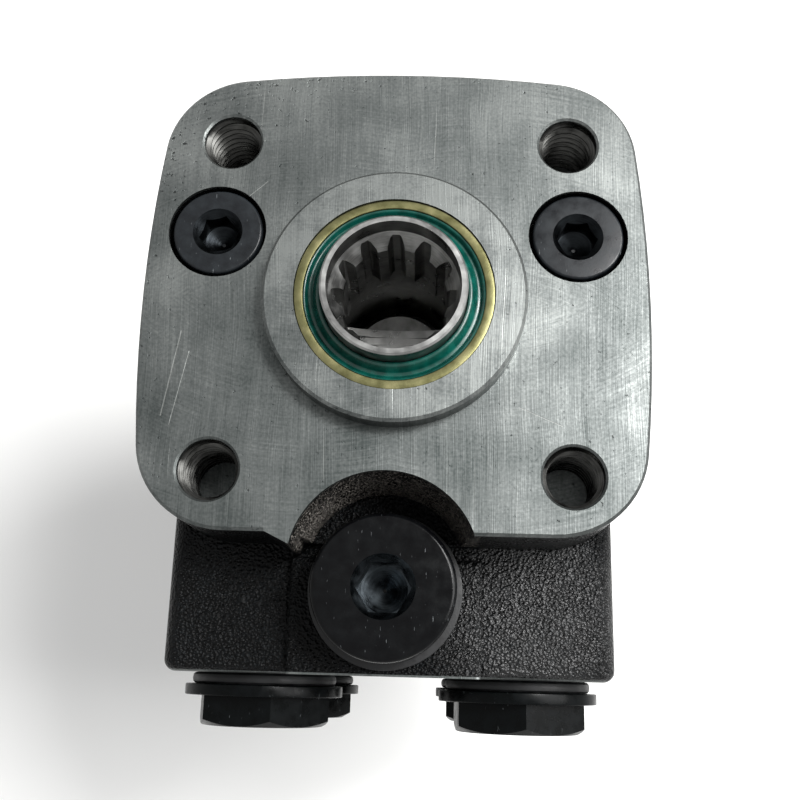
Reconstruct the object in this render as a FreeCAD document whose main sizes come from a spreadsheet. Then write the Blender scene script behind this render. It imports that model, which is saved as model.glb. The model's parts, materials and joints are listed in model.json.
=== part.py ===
import FreeCAD, Part
import math
import os
import re
import Sketcher
from FreeCAD import Placement, Rotation, Vector

# Orbital steering unit. The flange face is the plane z = 0, the input shaft lies on +Z,
# the port face looks along -Y, and the gear set and end cover hang below on -Z.

SIZES = {
    # square mounting flange with crowned sides
    "flange_half_width": 42.4,
    "flange_top": 43.0,
    "flange_bottom": 38.8,
    "flange_crown": 250.0,
    "flange_corner": 15.0,
    "flange_thick": 20.0,
    "flange_edge": 0.5,
    "under_fillet": 2.5,
    "cast_edge": 2.0,
    "block_corner": 3.0,
    "rim_edge": 3.0,
    "neck_fillet": 6.0,
    "lug_outer": 19.5,
    "lug_inner": 15.2,
    "lug_drop": 1.9,
    "boss_radius": 21.75,
    "boss_height": 4.0,
    "boss_edge": 0.5,
    "mount_spacing": 58.34,
    "mount_radius": 5.0,
    "mount_depth": 15.5,
    "mount_mouth": 5.35,
    # barrel, port block and rear rim
    "barrel_radius": 38.0,
    "housing_length": 96.0,
    "block_half_width": 38.0,
    "port_face": 60.3,
    "block_front": 16.0,
    "block_step": 4.0,
    "rim_radius": 44.0,
    "rim_depth": 15.0,
    "rim_flare": 9.0,
    "pad_half_width": 16.2,
    "pad_top": 41.0,
    "pad_rise": 2.0,
    "niche_drop": 43.9,
    "niche_radius": 15.2,
    "niche_root": 13.5,
    # input seals
    "case_radius": 16.5,
    "case_inner": 14.9,
    "case_length": 5.0,
    "case_wall": 0.9,
    "case_recess": 0.3,
    "lip_rise": 0.5,
    "press_gap": 0.02,
    "seal_groove_top": 4.6,
    "seal_groove_radius": 16.0,
    "seal_groove_width": 4.2,
    "slide_ring_wall": 1.5,
    # axial needle bearing
    "bearing_top": 13.5,
    "race_radius": 18.6,
    "race_bore": 12.5,
    "race_thick": 1.0,
    "needle_radius": 0.99,
    "needle_length": 4.2,
    "needle_circle": 15.6,
    "needle_count": 12,
    "cage_thick": 1.5,
    # spool and sleeve
    "fit_gap": 0.025,
    "feed_count": 6,
    "valve_slot_count": 6,
    "sleeve_radius": 19.0,
    "spool_radius": 15.0,
    "spool_bore": 11.0,
    "valve_end_gap": 0.05,
    "neck_radius": 11.95,
    "neck_stand": 7.5,
    "neck_gap": 0.4,
    "neck_recess": 10.9,
    "neck_recess_depth": 3.8,
    "spline_minor": 8.75,
    "spline_major": 10.45,
    "spline_lead": 2.9,
    "spline_end": 12.0,
    "spline_count": 12,
    "spline_mouth": 2.9,
    "spline_root": 1.7,
    "undercut_radius": 10.6,
    "undercut_end": 19.0,
    "spring_top": 21.0,
    "leaf_width": 8.0,
    "leaf_thick": 0.7,
    "leaf_bow": 2.0,
    "leaf_gap": 0.15,
    "pin_level": 36.0,
    "pin_radius": 4.0,
    "pin_gap": 0.02,
    "pin_swing": 2.3,
    "ring_wall": 0.95,
    "ring_overlap": 2.0,
    "groove_depth": 1.4,
    "groove_width": 4.0,
    "first_groove": 50.0,
    "last_groove_inset": 13.0,
    "feed_hole": 1.6,
    "slot_length": 15.0,
    "slot_width": 3.0,
    "slot_depth": 1.5,
    # gear set
    "lobe_inset": 6.0,
    "lobe_radius": 8.0,
    "eccentricity": 3.4,
    "mesh_gap": 0.05,
    "lobe_fillet": 1.2,
    "plate_thick": 5.0,
    "plate_bore": 12.5,
    "gear_width": 20.8,
    "gear_end_gap": 0.04,
    "rotor_minor": 8.75,
    "rotor_major": 10.0,
    "rotor_mouth": 3.0,
    "rotor_root": 1.8,
    "feed_inset": 12.5,
    "feed_radius": 2.5,
    "spacer_thick": 3.0,
    "spacer_radius": 8.4,
    "cover_thick": 18.0,
    "cover_edge": 2.5,
    "cover_recess": 1.0,
    # cardan shaft
    "head_radius": 9.6,
    "head_rise": 5.0,
    "head_drop": 7.0,
    "fork_gap": 0.15,
    "fork_floor": 1.5,
    "shaft_radius": 6.5,
    "crown_radius": 9.5,
    "crown_root": 8.1,
    "crown_fall": 0.35,
    "crown_length": 12.0,
    "crown_space": 1.75,
    "crown_mouth": 4.1,
    # cover screws
    "screw_inset": 7.8,
    "screw_radius": 4.0,
    "screw_gap": 0.15,
    "thread_gap": 0.05,
    "screw_reach": 14.0,
    "screw_hole_depth": 17.0,
    "screw_flats": 13.0,
    "screw_head": 5.3,
    "washer_radius": 7.5,
    "washer_thick": 1.0,
    "guide_pin_radius": 1.5,
    "guide_pin_length": 2.5,
    "seal_inset": 2.2,
    "seal_groove_wide": 1.7,
    "seal_groove_deep": 1.3,
    # relief valve below the shaft
    "relief_shift": -0.7,
    "relief_drop": 46.5,
    "relief_head_radius": 11.8,
    "relief_head_height": 8.0,
    "relief_head_edge": 0.6,
    "relief_washer_radius": 12.9,
    "relief_washer_thick": 1.2,
    "relief_shank": 9.0,
    "relief_shank_length": 14.0,
    "relief_socket": 8.0,
    "relief_sink": 5.1,
    "sink_depth": 0.6,
    "relief_socket_depth": 7.0,
    "adjuster_socket": 4.0,
    "adjuster_sink": 2.6,
    "adjuster_socket_depth": 4.0,
    "adjuster_turn": 15.0,
    "relief_bore": 5.0,
    "relief_depth": 66.0,
    "relief_seat_length": 6.0,
    "relief_hole": 1.6,
    "relief_cone_length": 8.0,
    "relief_screw_length": 6.0,
    # flush plugs over the shock valves
    "shock_x": 30.6,
    "shock_y": 12.1,
    "shock_sink_radius": 8.35,
    "shock_sink_depth": 4.0,
    "shock_head_radius": 7.65,
    "shock_face": 0.15,
    "shock_shank": 6.0,
    "shock_shank_length": 9.0,
    "shock_plug_core": 4.5,
    "shock_socket": 6.0,
    "shock_socket_sink": 4.2,
    "shock_socket_depth": 4.5,
    "shock_boss_radius": 9.0,
    "shock_boss_end": 36.0,
    "shock_bore": 4.0,
    "shock_seat_level": 29.0,
    "shock_hole": 2.4,
    "shock_ball": 3.6,
    "left_shock_turn": 12.0,
    "right_shock_turn": 0.0,
    # check valve under the distributor plate
    "check_drop": 25.5,
    "check_bore": 4.0,
    "check_ball": 3.2,
    "check_bush_length": 7.5,
    "check_bush_sink": 0.5,
    "check_bush_hole": 1.9,
    "check_hole": 2.2,
    "check_travel": 6.0,
    # ports and their plugs
    "port_spread": 46.0,
    "port_front_row": 34.0,
    "port_rear_inset": 16.0,
    "port_radius": 10.48,
    "port_depth": 17.0,
    "plug_ring_thick": 2.0,
    "plug_ring_radius": 13.0,
    "plug_collar_radius": 14.2,
    "plug_collar_thick": 1.9,
    "plug_flats": 22.0,
    "plug_head": 5.5,
    "plug_shank_length": 12.0,
    "front_left_turn": 16.0,
    "front_right_turn": 28.0,
    "rear_left_turn": 5.0,
    "rear_right_turn": 40.0,
    # diameter and turns of the wound springs
    "wire_radius": 0.5,
    "relief_coil": 3.4,
    "shock_coil": 2.7,
    "coil_turns": 5.0,
}

doc = FreeCAD.newDocument("steering_unit")
sheet = doc.addObject("Spreadsheet::Sheet", "sizes")
for row, (name, number) in enumerate(SIZES.items(), start=1):
    sheet.set(f"A{row}", name)
    sheet.set(f"B{row}", str(number))
    sheet.setAlias(f"B{row}", name)
doc.recompute()

pieces = {}


def bound(text):
    # Sizes named in a formula are read from the sheet.
    return re.sub(r"[a-z_]+", lambda word: "sizes." + word[0] if word[0] in SIZES else word[0], str(text))


def value(text):
    return float(sheet.evalExpression(bound(text)))


def bind(item, properties):
    for name, text in properties.items():
        item.setExpression(name, bound(text))


def place(item, x="0", y="0", z="0", rotation=None):
    item.Placement = Placement(Vector(value(x), value(y), value(z)), rotation or Rotation())
    bind(item, {"Placement.Base.x": x, "Placement.Base.y": y, "Placement.Base.z": z})
    return item


def keep(item, label):
    # A kept piece gets its own name, which is the name of its file too.
    item.Label = label
    pieces[label] = item
    return item


# Sketches and the features made from them


def origin_part(body, role):
    return next(part for part in body.Origin.OriginFeatures if part.Role == role)


def sketch(body, role, lift="0"):
    drawing = body.newObject("Sketcher::SketchObject", "outline")
    drawing.AttachmentSupport = [(origin_part(body, role), "")]
    drawing.MapMode = "FlatFace"
    drawing.AttachmentOffset = Placement(Vector(0, 0, value(lift)), Rotation())
    drawing.setExpression("AttachmentOffset.Base.z", bound(lift))
    return drawing


def hold(drawing, element, point, x, y):
    for kind, text in (("DistanceX", x), ("DistanceY", y)):
        rule = Sketcher.Constraint(kind, -1, 1, element, point, value(text))
        number = drawing.addConstraint(rule)
        drawing.setExpression(f"Constraints[{number}]", bound(text))


def polygon(drawing, points):
    spots = [Vector(value(x), value(y), 0) for x, y in points]
    first = drawing.GeometryCount
    count = len(spots)
    for i in range(count):
        drawing.addGeometry(Part.LineSegment(spots[i], spots[(i + 1) % count]))
    for i in range(count):
        drawing.addConstraint(Sketcher.Constraint("Coincident", first + i, 2, first + (i + 1) % count, 1))
        hold(drawing, first + i, 1, *points[i])


def rectangle(drawing, left, right, low, high):
    polygon(drawing, [(left, low), (right, low), (right, high), (left, high)])


def circle(drawing, x, y, radius):
    middle = Vector(value(x), value(y), 0)
    number = drawing.addGeometry(Part.Circle(middle, Vector(0, 0, 1), value(radius)))
    hold(drawing, number, 3, x, y)
    rule = drawing.addConstraint(Sketcher.Constraint("Radius", number, value(radius)))
    drawing.setExpression(f"Constraints[{rule}]", bound(radius))


def hexagon(drawing, flats, turn="0"):
    corner = f"({flats}) / 2 / cos(30 deg)"
    angles = [f"({turn} + {60 * k}) * 1 deg" for k in range(6)]
    polygon(drawing, [(f"{corner} * cos({a})", f"{corner} * sin({a})") for a in angles])


def turned(label, points):
    # A body turned about its own Z axis from a profile of (radius, height) points.
    body = doc.addObject("PartDesign::Body", label)
    drawing = sketch(body, "XZ_Plane")
    polygon(drawing, points)
    turn = body.newObject("PartDesign::Revolution", "turning")
    turn.Profile = drawing
    turn.ReferenceAxis = (drawing, ["V_Axis"])
    turn.Angle = 360
    doc.recompute()
    return body


def ring(label, inner, outer, low, high):
    return turned(label, [(inner, low), (outer, low), (outer, high), (inner, high)])


def padded(body, drawing, height):
    pad = body.newObject("PartDesign::Pad", "pad")
    pad.Profile = drawing
    pad.Length = value(height)
    pad.setExpression("Length", bound(height))
    doc.recompute()
    return pad


def pocket(body, drawing, depth, both_ways=False):
    # The cut has to take material away, so its direction is turned round if it took none.
    before = body.Shape.Volume
    cut = body.newObject("PartDesign::Pocket", "pocket")
    cut.Profile = drawing
    cut.Length = value(depth)
    cut.setExpression("Length", bound(depth))
    cut.Midplane = both_ways
    doc.recompute()
    if body.Shape.Volume > before - 0.01:
        cut.Reversed = True
        doc.recompute()
    if body.Shape.Volume > before - 0.01:
        raise RuntimeError(body.Label + ": a pocket cuts nothing")
    return cut


def polar(body, feature, count):
    pattern = body.newObject("PartDesign::PolarPattern", "pattern")
    pattern.Originals = [feature]
    pattern.Axis = (origin_part(body, "Z_Axis"), [""])
    pattern.Angle = 360
    pattern.Occurrences = int(value(count))
    pattern.setExpression("Occurrences", bound(count))
    body.Tip = pattern
    doc.recompute()
    return pattern


# Primitives and the operations between them


def cylinder(radius, height, x="0", y="0", z="0", rotation=None):
    item = doc.addObject("Part::Cylinder", "cylinder")
    bind(item, {"Radius": radius, "Height": height})
    return place(item, x, y, z, rotation)


def cone(low_radius, high_radius, height, x="0", y="0", z="0"):
    item = doc.addObject("Part::Cone", "cone")
    bind(item, {"Radius1": low_radius, "Radius2": high_radius, "Height": height})
    return place(item, x, y, z)


def box(length, width, height, x, y, z):
    item = doc.addObject("Part::Box", "box")
    bind(item, {"Length": length, "Width": width, "Height": height})
    return place(item, x, y, z)


def round_ring(label, radius, section, z="0"):
    # A rubber ring, its round section drawn with six flats.
    angles = [f"{60 * k} * 1 deg" for k in range(6)]
    outline = [(f"{radius} + {section} * cos({a})", f"{z} + {section} * sin({a})") for a in angles]
    return turned(label, outline)


def joined(name, items, kind="Part::MultiFuse"):
    item = doc.addObject(kind, name)
    item.Shapes = items
    doc.recompute()
    return item


def difference(name, base, tool):
    item = doc.addObject("Part::Cut", name)
    item.Base = base
    item.Tool = tool
    doc.recompute()
    return item


def rounded(name, base, radius, wanted, kind="Part::Fillet"):
    # Fillet or chamfer of the edges that a test picks out.
    item = doc.addObject(kind, name)
    item.Base = base
    size = value(radius)
    item.Edges = [(i, size, size) for i, edge in enumerate(base.Shape.Edges, 1) if wanted(edge)]
    doc.recompute()
    return item


def refined(name, base):
    # Faces that run on into each other become one face.
    item = doc.addObject("Part::Refine", name)
    item.Source = base
    doc.recompute()
    return item


def repeated(label, pattern, placements):
    # Identical pieces that share one name: copies of one pattern piece.
    shape = pattern.Shape.copy()
    shape.Placement = Placement()
    item = doc.addObject("Part::Feature", label)
    item.Shape = Part.makeCompound([shape.transformed(spot.toMatrix(), True) for spot in placements])
    return keep(item, label)


# Places that several pieces share
BLOCK_REAR = "(housing_length - block_step)"
GROOVE_PITCH = "((housing_length - last_groove_inset - first_groove) / 3)"
LOBE_CIRCLE = "(rim_radius - lobe_inset)"
FEED_CIRCLE = "(rim_radius - feed_inset)"
SCREW_CIRCLE = "(rim_radius - screw_inset)"
SEAL_MID = "(rim_radius - seal_inset)"
CHECK_BUSH_END = "(housing_length - check_bush_sink - check_bush_length)"
CHECK_SEAT = f"({CHECK_BUSH_END} - check_travel)"
PORT_REAR_ROW = "(housing_length - port_rear_inset)"

TOWARDS_PORTS = Rotation(Vector(1, 0, 0), 90)
PORT_SPOTS = {
    "front_left": ("-port_spread / 2", "-port_front_row"),
    "front_right": ("port_spread / 2", "-port_front_row"),
    "rear_left": ("-port_spread / 2", f"-{PORT_REAR_ROW}"),
    "rear_right": ("port_spread / 2", f"-{PORT_REAR_ROW}"),
}
LOBES = 7
LOBE_STEP = 360.0 / LOBES
COIL_RUNS = 14


def spread(radius, count, first=0.0):
    # Places on a circle about the shaft axis.
    step = 2 * math.pi / count
    angles = [math.radians(first) + step * k for k in range(count)]
    return [(value(radius) * math.cos(a), value(radius) * math.sin(a)) for a in angles]


# Housing: the casting

flange_crowns = [
    cylinder("flange_crown", "flange_thick", x="flange_half_width - flange_crown", z="-flange_thick"),
    cylinder("flange_crown", "flange_thick", x="flange_crown - flange_half_width", z="-flange_thick"),
    cylinder("flange_crown", "flange_thick", y="flange_top - flange_crown", z="-flange_thick"),
    box("4 * flange_half_width", "4 * flange_half_width", "flange_thick",
        "-2 * flange_half_width", "-flange_bottom", "-flange_thick"),
]
flange_blank = joined("flange_blank", flange_crowns, "Part::MultiCommon")


def upright(edge):
    box_of_edge = edge.BoundBox
    return box_of_edge.XLength < 0.01 and box_of_edge.YLength < 0.01


flange_block = rounded("flange_block", flange_blank, "flange_corner", upright)


def level(edge, height):
    # The edge lies flat at this height.
    reach = edge.BoundBox
    return abs(reach.ZMin - height) < 0.05 and abs(reach.ZMax - height) < 0.05


flange = rounded("flange", flange_block, "flange_edge", lambda edge: level(edge, 0), "Part::Chamfer")

lug = doc.addObject("PartDesign::Body", "lug")
lug_outline = sketch(lug, "XY_Plane", "-block_front - 1")
polygon(lug_outline, [
    ("-lug_outer", "1 - flange_bottom"),
    ("-lug_outer", "-flange_bottom"),
    ("-lug_inner - 0.4", "-flange_bottom - lug_drop"),
    ("-lug_inner", "-flange_bottom - lug_drop + 0.2"),
    ("1 - lug_inner", "1 - flange_bottom"),
])
padded(lug, lug_outline, "block_front + 1")

rough = joined("rough", [
    flange,
    lug,
    cylinder("barrel_radius", "housing_length - 5", z="-housing_length"),
    box("2 * block_half_width", "port_face", f"{BLOCK_REAR} - block_front",
        "-block_half_width", "-port_face", f"-{BLOCK_REAR}"),
    cylinder("rim_radius", "rim_depth", z="-housing_length"),
    cone("rim_radius", "barrel_radius", "rim_flare", z="rim_depth - housing_length"),
    box("2 * pad_half_width", "port_face - pad_top", "2 * pad_rise",
        "relief_shift - pad_half_width", "-port_face", "-block_front - pad_rise"),
    cylinder("boss_radius", "boss_height - boss_edge + 1", z="-1"),
    cone("boss_radius", "boss_radius - boss_edge", "boss_edge", z="boss_height - boss_edge"),
] + [place(turned("shock_boss", [
    ("0", "-5"),
    ("shock_boss_radius", "-5"),
    ("shock_boss_radius", "3 - shock_boss_end"),
    ("shock_boss_radius - 3", "-shock_boss_end"),
    ("0", "-shock_boss_end"),
]), x=side + "shock_x", y="shock_y") for side in ("-", "")])
rough = refined("rough_clean", rough)


def at_side(edge):
    # The edge lies in a side face of the port block.
    reach = edge.BoundBox
    side = value("block_half_width")
    return reach.XLength < 0.05 and abs(abs(reach.XMin) - side) < 0.05


def at_port_face(edge):
    reach = edge.BoundBox
    return reach.YLength < 0.05 and abs(reach.YMin + value("port_face")) < 0.05


def under_flange(edge):
    # Inner corner between the flange's underside and the barrel, the block and the bosses.
    reach = edge.BoundBox
    far = max(abs(reach.XMin), abs(reach.XMax))
    inside = far < value("shock_x + shock_boss_radius") + 0.1 and reach.YMax < value("barrel_radius") + 1
    return level(edge, -value("flange_thick")) and inside


# The cast edges are rounded in the order that leaves each its full length.
casting = rounded("front_round", rough, "block_corner",
                  lambda edge: at_side(edge) and level(edge, -value("block_front")))
casting = rounded("rear_round", casting, "block_corner",
                  lambda edge: at_side(edge) and level(edge, -value(BLOCK_REAR)))
casting = rounded("port_round", casting, "cast_edge",
                  lambda edge: at_port_face(edge) and at_side(edge) and edge.Length > value(BLOCK_REAR) / 2)
casting = rounded("pad_round", casting, "pad_rise / 2",
                  lambda edge: level(edge, value("pad_rise - block_front")) and not at_port_face(edge))
casting = rounded("under_round", casting, "under_fillet", under_flange)
casting = rounded("rim_round", casting, "rim_edge",
                  lambda edge: level(edge, value("rim_depth - housing_length")) and
                  edge.BoundBox.YMax > value("rim_radius") - 0.1)
casting = rounded("neck_round", casting, "neck_fillet",
                  lambda edge: level(edge, value("rim_depth + rim_flare - housing_length")))

# Housing: the bores, each as the core that is taken out

GROOVE_LOW = "seal_groove_top + seal_groove_width"
main_core = turned("main_core", [
    ("0", "boss_height + 2"),
    ("case_radius + press_gap", "boss_height + 2"),
    ("case_radius + press_gap", "boss_height - case_recess - case_length"),
    ("neck_radius + neck_gap", "boss_height - case_recess - case_length"),
    ("neck_radius + neck_gap", "-seal_groove_top"),
    ("seal_groove_radius", "-seal_groove_top"),
    ("seal_groove_radius", f"-({GROOVE_LOW})"),
    ("neck_radius + neck_gap", f"-({GROOVE_LOW})"),
    ("neck_radius + neck_gap", "-bearing_top"),
    ("sleeve_radius + fit_gap", "-bearing_top"),
    ("sleeve_radius + fit_gap", "-housing_length - 1"),
    ("0", "-housing_length - 1"),
])
niche = cone("niche_root", "niche_radius + 0.12", "block_front - pad_rise + 1",
             x="relief_shift", y="-niche_drop", z="pad_rise - block_front")
relief_core = place(turned("relief_core", [
    ("0", "pad_rise - block_front + 1"),
    ("relief_shank + thread_gap", "pad_rise - block_front + 1"),
    ("relief_shank + thread_gap", "pad_rise - block_front - relief_shank_length - 1.5"),
    ("relief_bore + thread_gap", "pad_rise - block_front - relief_shank_length - 4"),
    ("relief_bore + thread_gap", "-relief_depth"),
    ("relief_hole", "-relief_depth"),
    ("relief_hole", "-relief_depth - 2"),
    ("0", "-relief_depth - 2"),
]), x="relief_shift", y="-relief_drop")
cores = [main_core, niche, relief_core]

for side in ("-", ""):
    cores.append(place(turned("shock_core", [
        ("0", "1"),
        ("shock_sink_radius", "1"),
        ("shock_sink_radius", "-shock_sink_depth"),
        ("shock_shank + thread_gap", "-shock_sink_depth"),
        ("shock_shank + thread_gap", "-shock_sink_depth - shock_shank_length - 1"),
        ("shock_bore", "-shock_sink_depth - shock_shank_length - 3"),
        ("shock_bore", "-shock_seat_level"),
        ("shock_hole", "-shock_seat_level"),
        ("shock_hole", "-shock_seat_level - 2"),
        ("0", "-shock_seat_level - 2"),
    ]), x=side + "shock_x", y="shock_y"))

for column in ("-", ""):
    for line in ("-", ""):
        cores.append(place(turned("mount_core", [
            ("0", "1"),
            ("mount_mouth", "1"),
            ("mount_mouth", "0"),
            ("mount_radius", "mount_radius - mount_mouth"),
            ("mount_radius", "-mount_depth"),
            ("0", "-mount_depth"),
        ]), x=column + "mount_spacing / 2", y=line + "mount_spacing / 2"))

for x, z in PORT_SPOTS.values():
    cores.append(cylinder("port_radius", "port_depth + 1", x=x, y="port_depth - port_face", z=z,
                          rotation=TOWARDS_PORTS))

for k in range(LOBES):
    angle = f"({LOBE_STEP} * {k}) * 1 deg"
    cores.append(cylinder("screw_radius", "screw_hole_depth + 1", x=f"{SCREW_CIRCLE} * cos({angle})",
                          y=f"{SCREW_CIRCLE} * sin({angle})", z="-housing_length - 1"))

cores.append(place(turned("check_core", [
    ("0", "-housing_length - 1"),
    ("check_bore", "-housing_length - 1"),
    ("check_bore", f"-{CHECK_SEAT}"),
    ("check_hole", f"check_bore - check_hole - {CHECK_SEAT}"),
    ("check_hole", f"3.5 - {CHECK_SEAT}"),
    ("0", f"3.5 - {CHECK_SEAT}"),
]), y="-check_drop"))


def face_groove(level):
    # Groove for a face seal, cut into the face that looks down at this level.
    return ring("groove_core", f"{SEAL_MID} - seal_groove_wide / 2",
                f"{SEAL_MID} + seal_groove_wide / 2", level, f"{level} + seal_groove_deep")


cores.append(face_groove("-housing_length"))
housing = keep(difference("housing_bored", casting, joined("cores", cores)), "housing")

# Input seals

RECESS_FLOOR = "boss_height - case_recess - case_length"
keep(turned("dust_case", [
    ("neck_radius + neck_gap", RECESS_FLOOR),
    ("case_radius", RECESS_FLOOR),
    ("case_radius", "boss_height - case_recess"),
    ("case_inner", "boss_height - case_recess"),
    ("case_inner", f"{RECESS_FLOOR} + case_wall"),
    ("neck_radius + neck_gap", f"{RECESS_FLOOR} + case_wall"),
]), "dust_seal_case")
keep(turned("dust_lip", [
    ("neck_radius + 0.6", f"{RECESS_FLOOR} + case_wall"),
    ("case_inner", f"{RECESS_FLOOR} + case_wall"),
    ("case_inner", "boss_height - case_recess - 0.2"),
    ("case_inner - 0.7", "boss_height - case_recess + lip_rise - 0.2"),
    ("neck_radius + 1.1", "boss_height - case_recess + lip_rise - 0.2"),
    ("neck_radius + 0.05", "boss_height - case_recess + lip_rise"),
    ("neck_radius + 0.05", "boss_height - case_recess - 0.6"),
    ("neck_radius + 0.6", "boss_height - case_recess - 1.4"),
]), "dust_seal_lip")
SLIDE_OUTER = "neck_radius + fit_gap + slide_ring_wall"
keep(ring("slide_ring", "neck_radius + fit_gap", SLIDE_OUTER,
          f"-({GROOVE_LOW}) + 0.1", "-seal_groove_top - 0.1"), "shaft_seal_ring")
keep(round_ring("seal_ring_back", f"(seal_groove_radius + {SLIDE_OUTER}) / 2",
                f"(seal_groove_radius - ({SLIDE_OUTER})) / 2",
                "-seal_groove_top - seal_groove_width / 2"), "shaft_seal_o_ring")

# Axial needle bearing between the housing shoulder and the sleeve

CAGE_TOP = "-bearing_top - race_thick"
REAR_RACE_TOP = f"{CAGE_TOP} - 2 * needle_radius - 0.02"
SLEEVE_TOP = f"{REAR_RACE_TOP} - race_thick"
keep(ring("front_race", "race_bore", "race_radius", CAGE_TOP, "-bearing_top"), "bearing_race_front")
keep(ring("rear_race", "race_bore", "race_radius", SLEEVE_TOP, REAR_RACE_TOP), "bearing_race_rear")
CAGE_MID = f"{CAGE_TOP} - needle_radius - 0.01"
cage_ring = ring("cage_ring", "race_bore + 0.2", "race_radius - 0.2",
                 f"{CAGE_MID} - cage_thick / 2", f"{CAGE_MID} + cage_thick / 2")
window = sketch(cage_ring, "XY_Plane", f"{CAGE_MID} + cage_thick / 2 + 1")
rectangle(window, "needle_circle - needle_length / 2 - 0.05", "needle_circle + needle_length / 2 + 0.05",
          "-needle_radius - 0.03", "needle_radius + 0.03")
polar(cage_ring, pocket(cage_ring, window, "cage_thick + 2"), "needle_count")
needle_start = Vector(value("needle_circle - needle_length / 2"), 0, value(CAGE_MID))
needle = Part.makeCylinder(value("needle_radius"), value("needle_length"), needle_start, Vector(1, 0, 0))
needle_total = int(value("needle_count"))
needle_turns = [360.0 * k / needle_total for k in range(needle_total)]
cage_solids = [needle.rotated(Vector(), Vector(0, 0, 1), turn) for turn in needle_turns]
cage = doc.addObject("Part::Feature", "needle_cage")
cage.Shape = Part.makeCompound([cage_ring.Shape.copy()] + cage_solids)
keep(cage, "bearing_needle_cage")

# Sleeve with its grooves, feed holes, spring windows and cross-pin hole

VALVE_END = "-housing_length + valve_end_gap"
LEAF_LOW = "-spring_top - leaf_width - 2 * leaf_gap"
STACK_HALF = "3 * leaf_thick + leaf_bow + leaf_gap"
RING_TOP = "-spring_top + ring_overlap"
RING_LOW = "-pin_level - pin_radius - ring_overlap"
RING_BED = "sleeve_radius - ring_wall - fit_gap"
sleeve_outline = [
    ("spool_radius + fit_gap", SLEEVE_TOP),
    ("sleeve_radius", SLEEVE_TOP),
    ("sleeve_radius", f"{RING_TOP} + 0.1"),
    (RING_BED, f"{RING_TOP} + 0.1"),
    (RING_BED, f"{RING_LOW} - 0.1"),
    ("sleeve_radius", f"{RING_LOW} - 0.1"),
]
for k in range(4):
    start = f"-first_groove - {k} * {GROOVE_PITCH}"
    sleeve_outline += [
        ("sleeve_radius", start),
        ("sleeve_radius - groove_depth", start),
        ("sleeve_radius - groove_depth", f"{start} - groove_width"),
        ("sleeve_radius", f"{start} - groove_width"),
    ]
sleeve_outline += [("sleeve_radius", VALVE_END), ("spool_radius + fit_gap", VALVE_END)]
sleeve = turned("sleeve_blank", sleeve_outline)


def spring_window(body, reach):
    opening = sketch(body, "YZ_Plane")
    rectangle(opening, f"-({STACK_HALF})", STACK_HALF, LEAF_LOW, "-spring_top")
    pocket(body, opening, reach, both_ways=True)


def pin_hole(body, radius, reach):
    opening = sketch(body, "YZ_Plane")
    circle(opening, "0", "-pin_level", radius)
    pocket(body, opening, reach, both_ways=True)


spring_window(sleeve, "3 * sleeve_radius")
pin_hole(sleeve, "pin_radius + pin_gap", "3 * sleeve_radius")
for k in range(4):
    holes = sketch(sleeve, "XZ_Plane")
    circle(holes, "0", f"-first_groove - {k} * {GROOVE_PITCH} - groove_width / 2", "feed_hole")
    polar(sleeve, pocket(sleeve, holes, "2 * sleeve_radius"), "feed_count" if k == 0 else "feed_count / 2")
keep(sleeve, "sleeve")

ring_blank = ring("ring_blank", "sleeve_radius - ring_wall", "sleeve_radius - 0.02", RING_LOW, RING_TOP)
keep(ring_blank, "sleeve_ring")
# The flat pin ends stay inside the round bore of the ring.
PIN_END = "sqrt((sleeve_radius - ring_wall)^2 - pin_radius^2)"
keep(place(turned("pin_blank", [
    ("0", f"-{PIN_END}"),
    ("pin_radius - 0.4", f"-{PIN_END}"),
    ("pin_radius", f"0.4 - {PIN_END}"),
    ("pin_radius", f"{PIN_END} - 0.4"),
    ("pin_radius - 0.4", PIN_END),
    ("0", PIN_END),
]), z="-pin_level", rotation=Rotation(Vector(0, 1, 0), 90)), "cross_pin")

# Spool: input neck with its splined socket, valve part with axial slots

SPLINE_TOP = "neck_stand - neck_recess_depth"
SPOOL_TOP = f"{SLEEVE_TOP} - 0.1"
spool = turned("spool_blank", [
    ("neck_recess", "neck_stand"),
    ("neck_radius - 0.3", "neck_stand"),
    ("neck_radius", "neck_stand - 0.3"),
    ("neck_radius", SPOOL_TOP),
    ("spool_radius - 0.3", SPOOL_TOP),
    ("spool_radius", f"{SPOOL_TOP} - 0.3"),
    ("spool_radius", VALVE_END),
    ("spool_bore", VALVE_END),
    ("spool_bore", "-undercut_end"),
    ("undercut_radius", "-undercut_end"),
    ("undercut_radius", "-spline_end"),
    ("spline_minor", "-spline_end"),
    ("spline_minor", f"{SPLINE_TOP} - spline_lead"),
    ("neck_recess", SPLINE_TOP),
])
space = sketch(spool, "XY_Plane", "neck_stand")
polygon(space, [
    ("spline_minor - 1", "-spline_mouth / 2"),
    ("spline_minor + 0.3", "-spline_mouth / 2"),
    ("spline_major - 0.3", "-spline_root / 2 - 0.1"),
    ("spline_major", "-spline_root / 2 + 0.25"),
    ("spline_major", "spline_root / 2 - 0.25"),
    ("spline_major - 0.3", "spline_root / 2 + 0.1"),
    ("spline_minor + 0.3", "spline_mouth / 2"),
    ("spline_minor - 1", "spline_mouth / 2"),
])
polar(spool, pocket(spool, space, "neck_stand + spline_end"), "spline_count")
spring_window(spool, "3 * spool_radius")
pin_hole(spool, "pin_radius + pin_swing", "3 * spool_radius")
slot = sketch(spool, "YZ_Plane", "spool_radius - slot_depth")
rectangle(slot, "-slot_width / 2", "slot_width / 2",
          "-first_groove - groove_width - slot_length", "-first_groove - groove_width")
polar(spool, pocket(spool, slot, "2 * slot_depth"), "valve_slot_count")
keep(spool, "spool")

# Neutral-position leaf springs: two flat leaves between two pairs of arched ones

leaf_reach = value("sqrt((sleeve_radius - ring_wall)^2 - (3 * leaf_thick + leaf_bow)^2)") - 0.1


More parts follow.
